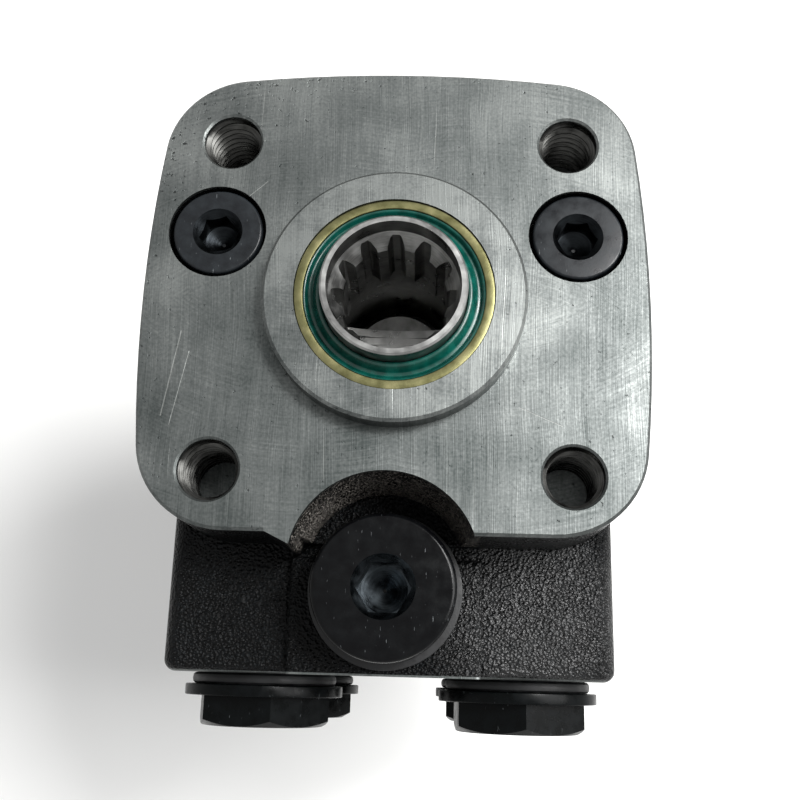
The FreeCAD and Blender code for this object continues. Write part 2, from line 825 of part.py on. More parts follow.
def leaf(first, bow):
    # One leaf seen along the shaft: its ends stand off the middle by the bow.
    thick = value("leaf_thick")
    outer = first + thick
    low = [Vector(-leaf_reach, first + bow, 0), Vector(0, first, 0), Vector(leaf_reach, first + bow, 0)]
    high = [Vector(leaf_reach, outer + bow, 0), Vector(0, outer, 0), Vector(-leaf_reach, outer + bow, 0)]
    if bow == 0:
        edges = [Part.LineSegment(low[0], low[2]), Part.LineSegment(high[0], high[2])]
    else:
        edges = [Part.Arc(*low), Part.Arc(*high)]
    edges.append(Part.LineSegment(low[2], high[0]))
    edges.append(Part.LineSegment(high[2], low[0]))
    wire = Part.Wire(Part.__sortEdges__([edge.toShape() for edge in edges]))
    solid = Part.Face(wire).extrude(Vector(0, 0, value("leaf_width")))
    solid.translate(Vector(0, 0, value(LEAF_LOW) + value("leaf_gap")))
    return solid


leaf_steps = [(0.0, 0.0)] + [(k * value("leaf_thick"), value("leaf_bow")) for k in (1, 2)]
leaves = [leaf(first, bow) for first, bow in leaf_steps]
leaves += [solid.rotated(Vector(), Vector(0, 0, 1), 180) for solid in leaves]
springs = doc.addObject("Part::Feature", "leaf_pack")
springs.Shape = Part.makeCompound(leaves)
keep(springs, "neutral_springs")

# Gear set: a ring with seven round lobes, and a gear with six teeth inside it

PLATE_LOW = "-housing_length - plate_thick"
GEAR_LOW = f"{PLATE_LOW} - gear_width"
COVER_LOW = f"{GEAR_LOW} - cover_thick"
lobe_circle = value(LOBE_CIRCLE)
lobe_radius = value("lobe_radius")
offset = value("eccentricity")
gear_width = value("gear_width")
tip_circle = lobe_circle - lobe_radius + 2 * offset + 3 * value("mesh_gap")

rim_disc = Part.makeCylinder(value("rim_radius"), gear_width, Vector(0, 0, value(GEAR_LOW)))
chamber = Part.makeCylinder(tip_circle, gear_width, Vector(0, 0, value(GEAR_LOW)))
for x, y in spread(LOBE_CIRCLE, LOBES):
    chamber = chamber.cut(Part.makeCylinder(lobe_radius, gear_width, Vector(x, y, value(GEAR_LOW))))
corners = [edge for edge in chamber.Edges if upright(edge) and edge.Length > gear_width - 0.01]
chamber = chamber.makeFillet(value("lobe_fillet"), corners)
stator_solid = rim_disc.cut(chamber)
for x, y in spread(SCREW_CIRCLE, LOBES):
    hole = Part.makeCylinder(value("screw_radius + screw_gap"), gear_width, Vector(x, y, value(GEAR_LOW)))
    stator_solid = stator_solid.cut(hole)
stator = doc.addObject("Part::Feature", "stator_blank")
stator.Shape = stator_solid
keep(stator, "stator")


def rotor_point(angle):
    # The lobe centre seen from the rotor, moved in by the lobe's radius at right angles.
    ratio = lobe_circle / (offset * LOBES)
    lean = math.atan2(math.sin((1 - LOBES) * angle), ratio - math.cos((1 - LOBES) * angle))
    reach = lobe_radius + value("mesh_gap")
    x = lobe_circle * math.cos(angle) - reach * math.cos(angle + lean) - offset * math.cos(LOBES * angle)
    y = -lobe_circle * math.sin(angle) + reach * math.sin(angle + lean) + offset * math.sin(LOBES * angle)
    return Vector(x, y, 0)


def spline_tool(inner, mouth, outer, root, length, count):
    # The tooth spaces of an internal spline, standing on z = 0.
    points = [(inner - 1, -mouth / 2), (inner + 0.2, -mouth / 2), (outer, -root / 2),
              (outer, root / 2), (inner + 0.2, mouth / 2), (inner - 1, mouth / 2)]
    corners = [Vector(x, y, 0) for x, y in points]
    solid = Part.Face(Part.makePolygon(corners + corners[:1])).extrude(Vector(0, 0, length))
    return [solid.rotated(Vector(), Vector(0, 0, 1), 360.0 * k / count) for k in range(count)]


# Each tooth is eight arcs, every one through three points of the true curve.
flank_arcs = (LOBES - 1) * 8
flank = [rotor_point(math.pi * k / flank_arcs) for k in range(2 * flank_arcs)]
flank_edges = [Part.Arc(flank[k], flank[k + 1], flank[(k + 2) % len(flank)]).toShape()
               for k in range(0, len(flank), 2)]
rotor_width = gear_width - 2 * value("gear_end_gap")
rotor_solid = Part.Face(Part.Wire(flank_edges)).extrude(Vector(0, 0, rotor_width))
rotor_solid = rotor_solid.cut(Part.makeCylinder(value("rotor_minor"), rotor_width))
spline_total = int(value("spline_count"))
rotor_solid = rotor_solid.cut(spline_tool(value("rotor_minor"), value("rotor_mouth"), value("rotor_major"),
                                          value("rotor_root"), rotor_width, spline_total))
rotor = doc.addObject("Part::Feature", "rotor_blank")
rotor.Shape = rotor_solid
place(rotor, x="eccentricity", z=f"{GEAR_LOW} + gear_end_gap")
keep(rotor, "rotor")
keep(place(ring("spacer_disc", "0", "spacer_radius", f"{GEAR_LOW} + 0.1", f"{GEAR_LOW} + 0.1 + spacer_thick"),
           x="eccentricity"), "spacer")

# Distributor plate and end cover


def screw_holes(body, top, depth):
    holes = sketch(body, "XY_Plane", top)
    circle(holes, SCREW_CIRCLE, "0", "screw_radius + screw_gap")
    polar(body, pocket(body, holes, depth), str(LOBES))


def seal_groove(body, level):
    # Groove for a face seal, its lower side at this level.
    outline = sketch(body, "XZ_Plane")
    rectangle(outline, f"{SEAL_MID} - seal_groove_wide / 2", f"{SEAL_MID} + seal_groove_wide / 2",
              level, f"{level} + seal_groove_deep")
    before = body.Shape.Volume
    groove = body.newObject("PartDesign::Groove", "groove")
    groove.Profile = outline
    groove.ReferenceAxis = (outline, ["V_Axis"])
    groove.Angle = 360
    doc.recompute()
    if body.Shape.Volume > before - 0.01:
        raise RuntimeError(body.Label + ": a groove cuts nothing")


plate = ring("plate_blank", "plate_bore", "rim_radius", PLATE_LOW, "-housing_length")
screw_holes(plate, "-housing_length", "plate_thick")
feeds = sketch(plate, "XY_Plane", "-housing_length")
feed_turn = f"{LOBE_STEP / 2} * 1 deg"
circle(feeds, f"{FEED_CIRCLE} * cos({feed_turn})", f"{FEED_CIRCLE} * sin({feed_turn})", "feed_radius")
polar(plate, pocket(plate, feeds, "plate_thick"), str(LOBES))
seal_groove(plate, PLATE_LOW)
keep(plate, "distributor_plate")

cover = turned("cover_blank", [
    ("0", GEAR_LOW),
    ("rim_radius", GEAR_LOW),
    ("rim_radius", f"{COVER_LOW} + cover_edge"),
    ("rim_radius - cover_edge", COVER_LOW),
    (f"{SCREW_CIRCLE} - washer_radius - 3", COVER_LOW),
    (f"{SCREW_CIRCLE} - washer_radius - 5", f"{COVER_LOW} + cover_recess"),
    ("0", f"{COVER_LOW} + cover_recess"),
])
screw_holes(cover, GEAR_LOW, "cover_thick")
seal_groove(cover, f"{GEAR_LOW} - seal_groove_deep")
keep(cover, "end_cover")

for label, level in (("housing_o_ring", "-housing_length + seal_groove_deep / 2"),
                     ("plate_o_ring", f"{PLATE_LOW} + seal_groove_deep / 2"),
                     ("cover_o_ring", f"{GEAR_LOW} - seal_groove_deep / 2")):
    keep(round_ring(label, SEAL_MID, "seal_groove_deep / 2", level), label)

# Cover screws with their washers; one screw carries the guide pin

HEAD_TOP = "-washer_thick"
SCREW_TIP = f"-({COVER_LOW}) - housing_length + screw_reach"


def screw_blank(label):
    # Head down, standing on the washer at z = 0 of the cover's face.
    body = turned(label, [
        ("0", HEAD_TOP),
        ("screw_radius - 0.05", HEAD_TOP),
        ("screw_radius - thread_gap", SCREW_TIP),
        ("0", SCREW_TIP),
    ])
    head = sketch(body, "XY_Plane", f"{HEAD_TOP} - screw_head")
    hexagon(head, "screw_flats")
    padded(body, head, "screw_head")
    return body


screw = screw_blank("screw_pattern")
washer = ring("washer_pattern", "screw_radius + screw_gap", "washer_radius", "-washer_thick", "0")
cover_spots = [Placement(Vector(x, y, value(COVER_LOW)), Rotation()) for x, y in spread(SCREW_CIRCLE, LOBES)]
repeated("cover_screws", screw, cover_spots[1:])
repeated("cover_washers", washer, cover_spots)
pin_screw = screw_blank("pin_screw_blank")
tip = sketch(pin_screw, "XY_Plane", f"{SCREW_TIP} - 1")
circle(tip, "0", "0", "guide_pin_radius")
padded(pin_screw, tip, "1 + guide_pin_length")
keep(place(pin_screw, x=SCREW_CIRCLE, z=COVER_LOW), "pin_screw")

# Cardan shaft: fork over the cross pin, crowned spline in the rotor

DRIVE_SPAN = f"(-1 * ({GEAR_LOW}) - gear_width / 2 - pin_level)"
drive_span = value(DRIVE_SPAN)
lean = math.atan2(offset, drive_span)
DRIVE_LENGTH = f"sqrt({DRIVE_SPAN} * {DRIVE_SPAN} + eccentricity * eccentricity)"
cardan = turned("cardan_blank", [
    ("0", "head_rise"),
    ("head_radius - 1", "head_rise"),
    ("head_radius", "head_rise - 1"),
    ("head_radius", "-head_drop"),
    ("shaft_radius", "-head_drop - 4"),
    ("shaft_radius", f"-{DRIVE_LENGTH} + crown_length / 2 + 1.5"),
    ("crown_root", f"-{DRIVE_LENGTH} + crown_length / 2"),
    ("crown_radius - crown_fall", f"-{DRIVE_LENGTH} + crown_length / 2"),
    ("crown_radius", f"-{DRIVE_LENGTH} + crown_length / 5"),
    ("crown_radius", f"-{DRIVE_LENGTH} - crown_length / 5"),
    ("crown_radius - crown_fall", f"-{DRIVE_LENGTH} - crown_length / 2"),
    ("0", f"-{DRIVE_LENGTH} - crown_length / 2"),
])
fork = sketch(cardan, "YZ_Plane")
rectangle(fork, "-pin_radius - fork_gap", "pin_radius + fork_gap",
          "-pin_radius - fork_floor", "head_rise + 1")
pocket(cardan, fork, "3 * head_radius", both_ways=True)
teeth = sketch(cardan, "XY_Plane", f"-{DRIVE_LENGTH} - crown_length / 2 - 1")
half_step = "180 / spline_count * 1 deg"


def turned_point(x, y):
    # A point of a tooth space turned by half a step, so that a tooth lies on the X axis.
    return (f"({x}) * cos({half_step}) - ({y}) * sin({half_step})",
            f"({x}) * sin({half_step}) + ({y}) * cos({half_step})")


polygon(teeth, [
    turned_point("crown_root", "-crown_space / 2"),
    turned_point("crown_radius + 0.7", "-crown_mouth / 2"),
    turned_point("crown_radius + 0.7", "crown_mouth / 2"),
    turned_point("crown_root", "crown_space / 2"),
])
polar(cardan, pocket(cardan, teeth, "crown_length + 1.01"), "spline_count")
place(cardan, z="-pin_level", rotation=Rotation(Vector(0, 1, 0), -math.degrees(lean)))
keep(cardan, "cardan_shaft")

# Relief valve

PAD_FACE = "pad_rise - block_front"
RELIEF_FACE = f"{PAD_FACE} + relief_washer_thick + relief_head_height"


def sunk_socket(body, face, flats, sink, depth, turn="0"):
    # Round countersink with a hexagon socket below it.
    mouth = sketch(body, "XY_Plane", face)
    circle(mouth, "0", "0", sink)
    pocket(body, mouth, "sink_depth")
    socket = sketch(body, "XY_Plane", face)
    hexagon(socket, flats, turn)
    pocket(body, socket, depth)


relief_plug = turned("relief_plug_blank", [
    ("0", RELIEF_FACE),
    ("relief_head_radius - relief_head_edge", RELIEF_FACE),
    ("relief_head_radius", f"{RELIEF_FACE} - relief_head_edge"),
    ("relief_head_radius", f"{PAD_FACE} + relief_washer_thick"),
    ("relief_shank", f"{PAD_FACE} + relief_washer_thick"),
    ("relief_shank", f"{PAD_FACE} - relief_shank_length + 1"),
    ("relief_shank - 1", f"{PAD_FACE} - relief_shank_length"),
    ("0", f"{PAD_FACE} - relief_shank_length"),
])
sunk_socket(relief_plug, RELIEF_FACE, "relief_socket", "relief_sink", "relief_socket_depth")
keep(place(relief_plug, x="relief_shift", y="-relief_drop"), "relief_plug")
relief_washer = ring("relief_washer_blank", "relief_shank + 0.05", "relief_washer_radius", PAD_FACE,
                     f"{PAD_FACE} + relief_washer_thick")
keep(place(relief_washer, x="relief_shift", y="-relief_drop"), "relief_plug_washer")
SCREW_TOP = f"{PAD_FACE} - relief_shank_length - 4.2"
adjuster = turned("adjuster_blank", [
    ("0", SCREW_TOP),
    ("relief_bore - 0.5", SCREW_TOP),
    ("relief_bore", f"{SCREW_TOP} - 0.5"),
    ("relief_bore", f"{SCREW_TOP} - relief_screw_length"),
    ("0", f"{SCREW_TOP} - relief_screw_length"),
])
sunk_socket(adjuster, SCREW_TOP, "adjuster_socket", "adjuster_sink", "adjuster_socket_depth", "adjuster_turn")
keep(place(adjuster, x="relief_shift", y="-relief_drop"), "relief_adjusting_screw")
SEAT_TOP = "-relief_depth + relief_seat_length"
keep(place(turned("seat_blank", [
    ("relief_hole", "-relief_depth + 0.2"),
    ("relief_bore", "-relief_depth + 0.2"),
    ("relief_bore", SEAT_TOP),
    ("relief_hole + 0.8", SEAT_TOP),
    ("relief_hole", f"{SEAT_TOP} - 0.8"),
]), x="relief_shift", y="-relief_drop"), "relief_seat")
CONE_TOP = f"{SEAT_TOP} + relief_cone_length"
keep(place(turned("poppet_blank", [
    ("0", f"{SEAT_TOP} - 1.4"),
    ("relief_hole + 1.3", f"{SEAT_TOP} + 0.55"),
    ("relief_hole + 1.3", f"{SEAT_TOP} + 2"),
    ("relief_bore - 0.1", f"{SEAT_TOP} + 3"),
    ("relief_bore - 0.1", f"{CONE_TOP} - 3"),
    ("relief_coil - wire_radius - 0.2", f"{CONE_TOP} - 3"),
    ("relief_coil - wire_radius - 0.2", CONE_TOP),
    ("0", CONE_TOP),
]), x="relief_shift", y="-relief_drop"), "relief_cone")


def coil(label, radius, low, high, x, y):
    # A wound spring between two seats, its wire just inside both. Short straight runs make each turn.
    wire = value("wire_radius")
    bottom = value(low) + wire + 0.02
    height = value(high) - value(low) - 2 * wire - 0.04
    runs = int(value("coil_turns")) * COIL_RUNS
    turns = [2 * math.pi * k / COIL_RUNS for k in range(runs + 1)]
    reach = value(radius)
    route = [Vector(reach * math.cos(a), reach * math.sin(a), height * k / runs) for k, a in enumerate(turns)]
    start = (route[1] - route[0]).normalize()
    side = start.cross(Vector(0, 0, 1)).normalize()
    rise = side.cross(start)
    angles = [math.radians(60 * k) for k in range(7)]
    section = Part.makePolygon([route[0] + side * (wire * math.cos(a)) + rise * (wire * math.sin(a))
                                for a in angles])
    solid = Part.makePolygon(route).makePipeShell([section], True, False, 1)
    item = doc.addObject("Part::Feature", "coil")
    item.Shape = solid
    item.Placement = Placement(Vector(value(x), value(y), bottom), Rotation())
    return keep(item, label)


coil("relief_spring", "relief_coil", f"{CONE_TOP} - 3", f"{SCREW_TOP} - relief_screw_length",
     "relief_shift", "-relief_drop")

# Shock valves under the flush plugs

BALL_LEVEL = "-shock_seat_level + sqrt(shock_ball * shock_ball - shock_hole * shock_hole) + 0.02"
SHOCK_HEAD_LOW = "-shock_sink_depth"
for side, sign in (("left", "-"), ("right", "")):
    plug = turned("shock_plug_blank", [
        ("0", "-shock_face"),
        ("shock_head_radius - 0.3", "-shock_face"),
        ("shock_head_radius", "-shock_face - 0.3"),
        ("shock_head_radius", SHOCK_HEAD_LOW),
        ("shock_shank", SHOCK_HEAD_LOW),
        ("shock_shank", f"{SHOCK_HEAD_LOW} - shock_shank_length"),
        ("shock_coil + wire_radius + 0.3", f"{SHOCK_HEAD_LOW} - shock_shank_length"),
        ("shock_coil + wire_radius + 0.3", f"{SHOCK_HEAD_LOW} - shock_plug_core"),
        ("0", f"{SHOCK_HEAD_LOW} - shock_plug_core"),
    ])
    sunk_socket(plug, "-shock_face", "shock_socket", "shock_socket_sink", "shock_socket_depth",
                side + "_shock_turn")
    keep(place(plug, x=sign + "shock_x", y="shock_y"), side + "_shock_plug")
    ball = doc.addObject("Part::Sphere", "ball")
    bind(ball, {"Radius": "shock_ball"})
    keep(place(ball, x=sign + "shock_x", y="shock_y", z=BALL_LEVEL), side + "_shock_ball")
    coil(side + "_shock_spring", "shock_coil", f"{BALL_LEVEL} + 2.8", f"{SHOCK_HEAD_LOW} - shock_plug_core",
         sign + "shock_x", "shock_y")

# Check valve

CHECK_SIT = "sqrt(check_ball * check_ball - check_bush_hole * check_bush_hole) + 0.02"
CHECK_BALL_LEVEL = f"{CHECK_SIT} - {CHECK_BUSH_END}"
ball = doc.addObject("Part::Sphere", "ball")
bind(ball, {"Radius": "check_ball"})
keep(place(ball, y="-check_drop", z=CHECK_BALL_LEVEL), "check_ball")
check_bush = ring("bush_blank", "check_bush_hole", "check_bore - thread_gap",
                  "-housing_length + check_bush_sink", f"-{CHECK_BUSH_END}")
keep(place(check_bush, y="-check_drop"), "check_ball_bush")

# Port plugs with their O-rings

ring_spots = []
for label, (x, z) in PORT_SPOTS.items():
    plug = turned("port_plug_blank", [
        ("0", "-plug_shank_length"),
        ("port_radius - thread_gap - 1", "-plug_shank_length"),
        ("port_radius - thread_gap", "-plug_shank_length + 1"),
        ("port_radius - thread_gap", "plug_ring_thick"),
        ("plug_collar_radius - 0.3", "plug_ring_thick"),
        ("plug_collar_radius", "plug_ring_thick + 0.3"),
        ("plug_collar_radius", "plug_ring_thick + plug_collar_thick"),
        ("0", "plug_ring_thick + plug_collar_thick"),
    ])
    head = sketch(plug, "XY_Plane", "plug_ring_thick + plug_collar_thick")
    hexagon(head, "plug_flats", label + "_turn")
    padded(plug, head, "plug_head")
    keep(place(plug, x=x, y="-port_face", z=z, rotation=TOWARDS_PORTS), label + "_port_plug")
    ring_spots.append(Placement(Vector(value(x), value("-port_face - plug_ring_thick / 2"), value(z)),
                                TOWARDS_PORTS))
plug_ring = turned("plug_ring_pattern", [
    ("port_radius", "-plug_ring_thick / 2"),
    ("plug_ring_radius - 0.5", "-plug_ring_thick / 2"),
    ("plug_ring_radius", "-plug_ring_thick / 4"),
    ("plug_ring_radius", "plug_ring_thick / 4"),
    ("plug_ring_radius - 0.5", "plug_ring_thick / 2"),
    ("port_radius", "plug_ring_thick / 2"),
])
doc.recompute()
repeated("port_plug_o_rings", plug_ring, ring_spots)

doc.recompute()
for item in doc.Objects:
    if "Invalid" in item.State or "Error" in item.State:
        raise RuntimeError(f"{item.Name} ({item.Label}) failed: {item.State}")
for label, item in pieces.items():
    if item.Shape.isNull() or not item.Shape.isValid():
        raise RuntimeError(f"{label} has no valid shape")

os.makedirs("parts", exist_ok=True)
for label, item in pieces.items():
    item.Shape.exportStep(f"parts/{label}.step")
print(len(pieces), "pieces")
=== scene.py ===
import bpy
import bmesh
import json
import math
from mathutils import Matrix, Vector


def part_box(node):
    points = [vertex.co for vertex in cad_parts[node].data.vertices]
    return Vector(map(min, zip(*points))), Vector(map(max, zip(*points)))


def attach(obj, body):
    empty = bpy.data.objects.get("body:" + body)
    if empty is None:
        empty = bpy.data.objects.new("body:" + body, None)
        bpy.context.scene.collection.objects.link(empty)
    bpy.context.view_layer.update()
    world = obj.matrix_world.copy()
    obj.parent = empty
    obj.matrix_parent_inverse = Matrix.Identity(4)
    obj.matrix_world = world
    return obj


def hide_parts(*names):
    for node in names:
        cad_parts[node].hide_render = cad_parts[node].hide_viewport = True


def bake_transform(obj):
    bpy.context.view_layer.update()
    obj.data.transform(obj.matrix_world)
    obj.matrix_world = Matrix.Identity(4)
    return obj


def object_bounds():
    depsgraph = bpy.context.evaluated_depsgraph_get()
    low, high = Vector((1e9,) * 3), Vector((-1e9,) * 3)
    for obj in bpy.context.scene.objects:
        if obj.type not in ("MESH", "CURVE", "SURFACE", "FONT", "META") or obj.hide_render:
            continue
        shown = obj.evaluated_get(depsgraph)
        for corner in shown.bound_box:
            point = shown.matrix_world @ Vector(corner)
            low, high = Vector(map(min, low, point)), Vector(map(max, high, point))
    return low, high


# Orbital steering unit: square machined flange on top, splined input in a green dust seal,
# black cast body with the port face towards -Y, gear set and end cover underneath.

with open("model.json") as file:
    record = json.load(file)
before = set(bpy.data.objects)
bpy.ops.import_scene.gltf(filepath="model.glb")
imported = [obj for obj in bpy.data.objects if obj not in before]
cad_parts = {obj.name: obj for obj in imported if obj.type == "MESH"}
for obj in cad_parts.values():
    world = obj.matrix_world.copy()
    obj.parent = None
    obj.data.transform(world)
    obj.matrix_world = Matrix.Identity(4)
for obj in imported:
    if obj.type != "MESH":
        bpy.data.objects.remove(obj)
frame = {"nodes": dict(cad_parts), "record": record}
nodes = frame["nodes"]
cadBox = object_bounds()
mm = 0.001
weldGap = 1e-5      # points of a draft in mm that are closer than this are one
smoothBelow = 28    # degrees; an edge that turns more stays sharp
spread = (0.3, 0.7)  # nearly all values of a noise pattern lie between these
scene = bpy.context.scene


# colours are written as sRGB hex and turned to linear here
def colour(hexText):
    parts = [int(hexText[i:i + 2], 16) / 255 for i in (1, 3, 5)]
    return (*[p / 12.92 if p <= 0.04045 else ((p + 0.055) / 1.055) ** 2.4 for p in parts], 1.0)


# adds one node with its settings and links, and gives back its first open output;
# values are sockets, numbers or hex colours, by name or in the order of the open sockets
def addNode(tree, kind, values=(), stops=(), **settings):
    node = tree.nodes.new("ShaderNode" + kind)
    for name, item in settings.items():
        setattr(node, name, item)
    openSockets = [socket for socket in node.inputs if socket.enabled]
    for name, item in values.items() if isinstance(values, dict) else enumerate(values):
        socket = openSockets[name] if isinstance(name, int) else node.inputs[name]
        if isinstance(item, bpy.types.NodeSocket):
            tree.links.new(item, socket)
        else:
            socket.default_value = colour(item) if isinstance(item, str) else item
    for k, (position, tone) in enumerate(stops):
        elements = node.color_ramp.elements
        element = elements[k] if k < len(elements) else elements.new(position)
        element.position = position
        element.color = colour(tone)
    return next(socket for socket in node.outputs if socket.enabled)


# a material, its node tree and the place on the object in mm, from which all patterns start
def newMaterial(name, **surface):
    material = bpy.data.materials.new(name)
    material.use_nodes = True
    tree = material.node_tree
    for socket, item in surface.items():
        tree.nodes["Principled BSDF"].inputs[socket.replace("_", " ")].default_value = item
    place = addNode(tree, "TexCoord").node.outputs["Object"]
    place = addNode(tree, "VectorMath", [place, (1 / mm, 1 / mm, 1 / mm)], operation="MULTIPLY")
    return material, tree, place


# links what a finish varies to the shader: colour, roughness and a surface relief in mm
def dress(tree, base, rough, height, depth, metallic=None):
    shader = tree.nodes["Principled BSDF"]
    relief = addNode(tree, "Bump", {"Height": height, "Distance": depth * mm, "Strength": 1.0})
    varied = {"Base Color": base, "Roughness": rough, "Normal": relief, "Metallic": metallic}
    for name, socket in varied.items():
        if socket is not None:
            tree.links.new(socket, shader.inputs[name])


# weighted sum of several patterns
def layered(tree, *patterns):
    total = 0.0
    for pattern, weight in patterns:
        total = addNode(tree, "Math", [pattern, weight, total], operation="MULTIPLY_ADD")
    return total


# the largest of several masks
def anyOf(tree, *masks):
    most = masks[0]
    for mask in masks[1:]:
        most = addNode(tree, "Math", [most, mask], operation="MAXIMUM")
    return most


# marks drawn out along one direction, across and along in mm
def brushed(tree, place, across, along, turn=0.0, detail=3.0):
    drawn = addNode(tree, "Mapping", {"Vector": place, "Rotation": (0, 0, math.radians(turn)),
                                      "Scale": (1 / across, 1 / along, 1 / along)})
    return addNode(tree, "TexNoise", {"Vector": drawn, "Scale": 1.0, "Detail": detail})


# one scratch from start to end, both (x, y) in mm on a face that looks up; full is the share of its width
# that doesn't fade
def scratch(tree, place, start, end, width, full=0.4):
    run = Vector((*end, 0)) - Vector((*start, 0))
    away = addNode(tree, "VectorMath", [place, (*start, 0)], operation="SUBTRACT")
    away = addNode(tree, "VectorMath", [away, (1, 1, 0)], operation="MULTIPLY")
    along = addNode(tree, "VectorMath", [away, run / run.length_squared], operation="DOT_PRODUCT")
    along = addNode(tree, "Math", [along, 0.0], operation="ADD", use_clamp=True)
    nearest = addNode(tree, "VectorMath", {0: run, "Scale": along}, operation="SCALE")
    gap = addNode(tree, "VectorMath", [away, nearest], operation="DISTANCE")
    return addNode(tree, "MapRange", [gap, width, width * full, 0.0, 1.0])


# the casting: face-ground grey iron where it was machined, black enamel over sand-cast skin elsewhere;
# lengths in mm, ranges are what a pattern runs from and to, then what comes out at its two ends
casting = {
    "topLevel": -0.62,
    "mountSpacing": 58.34,
    "mountReach": 5.6,
    "mountDepth": -18.5,
    "boreReach": 19.2,
    "portEdge": 0.35,
    "rearEdge": 0.05,
    # grain size, detail and roughness of each pattern
    "patterns": {
        "wander": (30, 1.0, 0.5), "cloud": (16, 4.0, 0.5), "patch": (11, 2.0, 0.5),
        "blots": (5.0, 5.0, 0.65), "pits": (1.0, 5.0, 0.62), "pores": (0.5, 3.0, 0.5),
        "lumps": (4.5, 4.0, 0.5), "speck": (0.3, 3.0, 0.6),
    },
    # width, length, turn and detail of the grinding lines and of single long marks
    "lines": (0.2, 14, 4, 3.0),
    "cross": (0.2, 10, 64, 3.0),
    "broad": (1.6, 30, 4, 3.0),
    "fine": (0.5, 40, 3, 2.0),
    "lineWander": (0.0, 1.0, -1.6, 1.6),
    "patchRange": (0.38, 0.60),
    "arcCentre": (14.0, -30.0),
    "arcsPerMm": 3.2,
    "arcDrift": 0.05,
    "bossRange": (1.0, 3.0, 0.0, 1.0),
    "blotRange": (0.35, 0.65, 0.0, 0.09),
    # how much each pattern adds to the tone of the ground iron; the share on Y is painted shade, darker
    # towards the port side
    "toneShares": {"grinding": 0.20, "cross": 0.04, "broad": 0.14, "cloud": 0.40, "pores": 0.20,
                   "paintedShadeTowardsPorts": 0.0008, "onBoss": 1.0},
    "iron": ((0.38, "#3d4140"), (0.50, "#595c5b"), (0.62, "#787b79")),
    "ironRough": (0.35, 0.65, 0.50, 0.36),
    "fleck": "#1c1e1e",
    "rimX": (-33.0, -42.0),
    "rimY": (36.0, 43.0),
    "corner": (38.0, 74.0),
    "pitShares": {"rim": -0.035, "corner": -0.065, "pits": 1.0},
    "pitRange": (0.36, 0.29, 0.0, 0.8),
    "bright": "#bdbdb8",
    "brightShare": 0.35,
    "markRange": (0.70, 0.74, 0.0, 0.3),
    "scratchShare": 0.5,
    "scratches": (((-37.4, -20.5), (-35.2, -6.0), 0.13), ((-35.9, -22.0), (-33.6, -9.5), 0.09),
                  ((-30.0, 14.5), (-22.5, 21.5), 0.08), ((20.5, -18.0), (27.5, -21.0), 0.08)),
    "cutShares": {"lines": 0.07, "pitted": -0.10, "marks": -0.08},
    "enamel": "#030303",
    "enamelThin": "#15181a",
    "thinShares": {"speck": 0.85, "lumps": 0.15},
    "thinRange": (0.50, 0.66, 0.0, 0.8),
    "enamelRough": (0.3, 0.7, 0.20, 0.36),
    # painted sheen: the enamel's reflectivity goes from the first level to the second towards a centre on the
    # right of the block's shoulder, reaches in mm
    "paintedSheen": (0.07, 0.38),
    "paintedSheenCentre": (24.0, -50.0),
    "paintedSheenReach": (20.0, 8.0),
    "sandGrain": 0.5,
    "skinShares": {"sand": 1.1, "speck": 0.5, "lumps": 1.2},
    "bareGrain": "#85807a",
    "bareRange": (0.54, 0.64, 0.0, 0.85),
    "bareFading": (-1.0, -9.0, 0.0, 0.06),
    "nicheCentre": (-0.7, -43.9),
    "nicheReach": 15.7,
    "nicheFloor": -13.9,
    "nicheEdge": 0.6,
    "relief": 0.30,
}


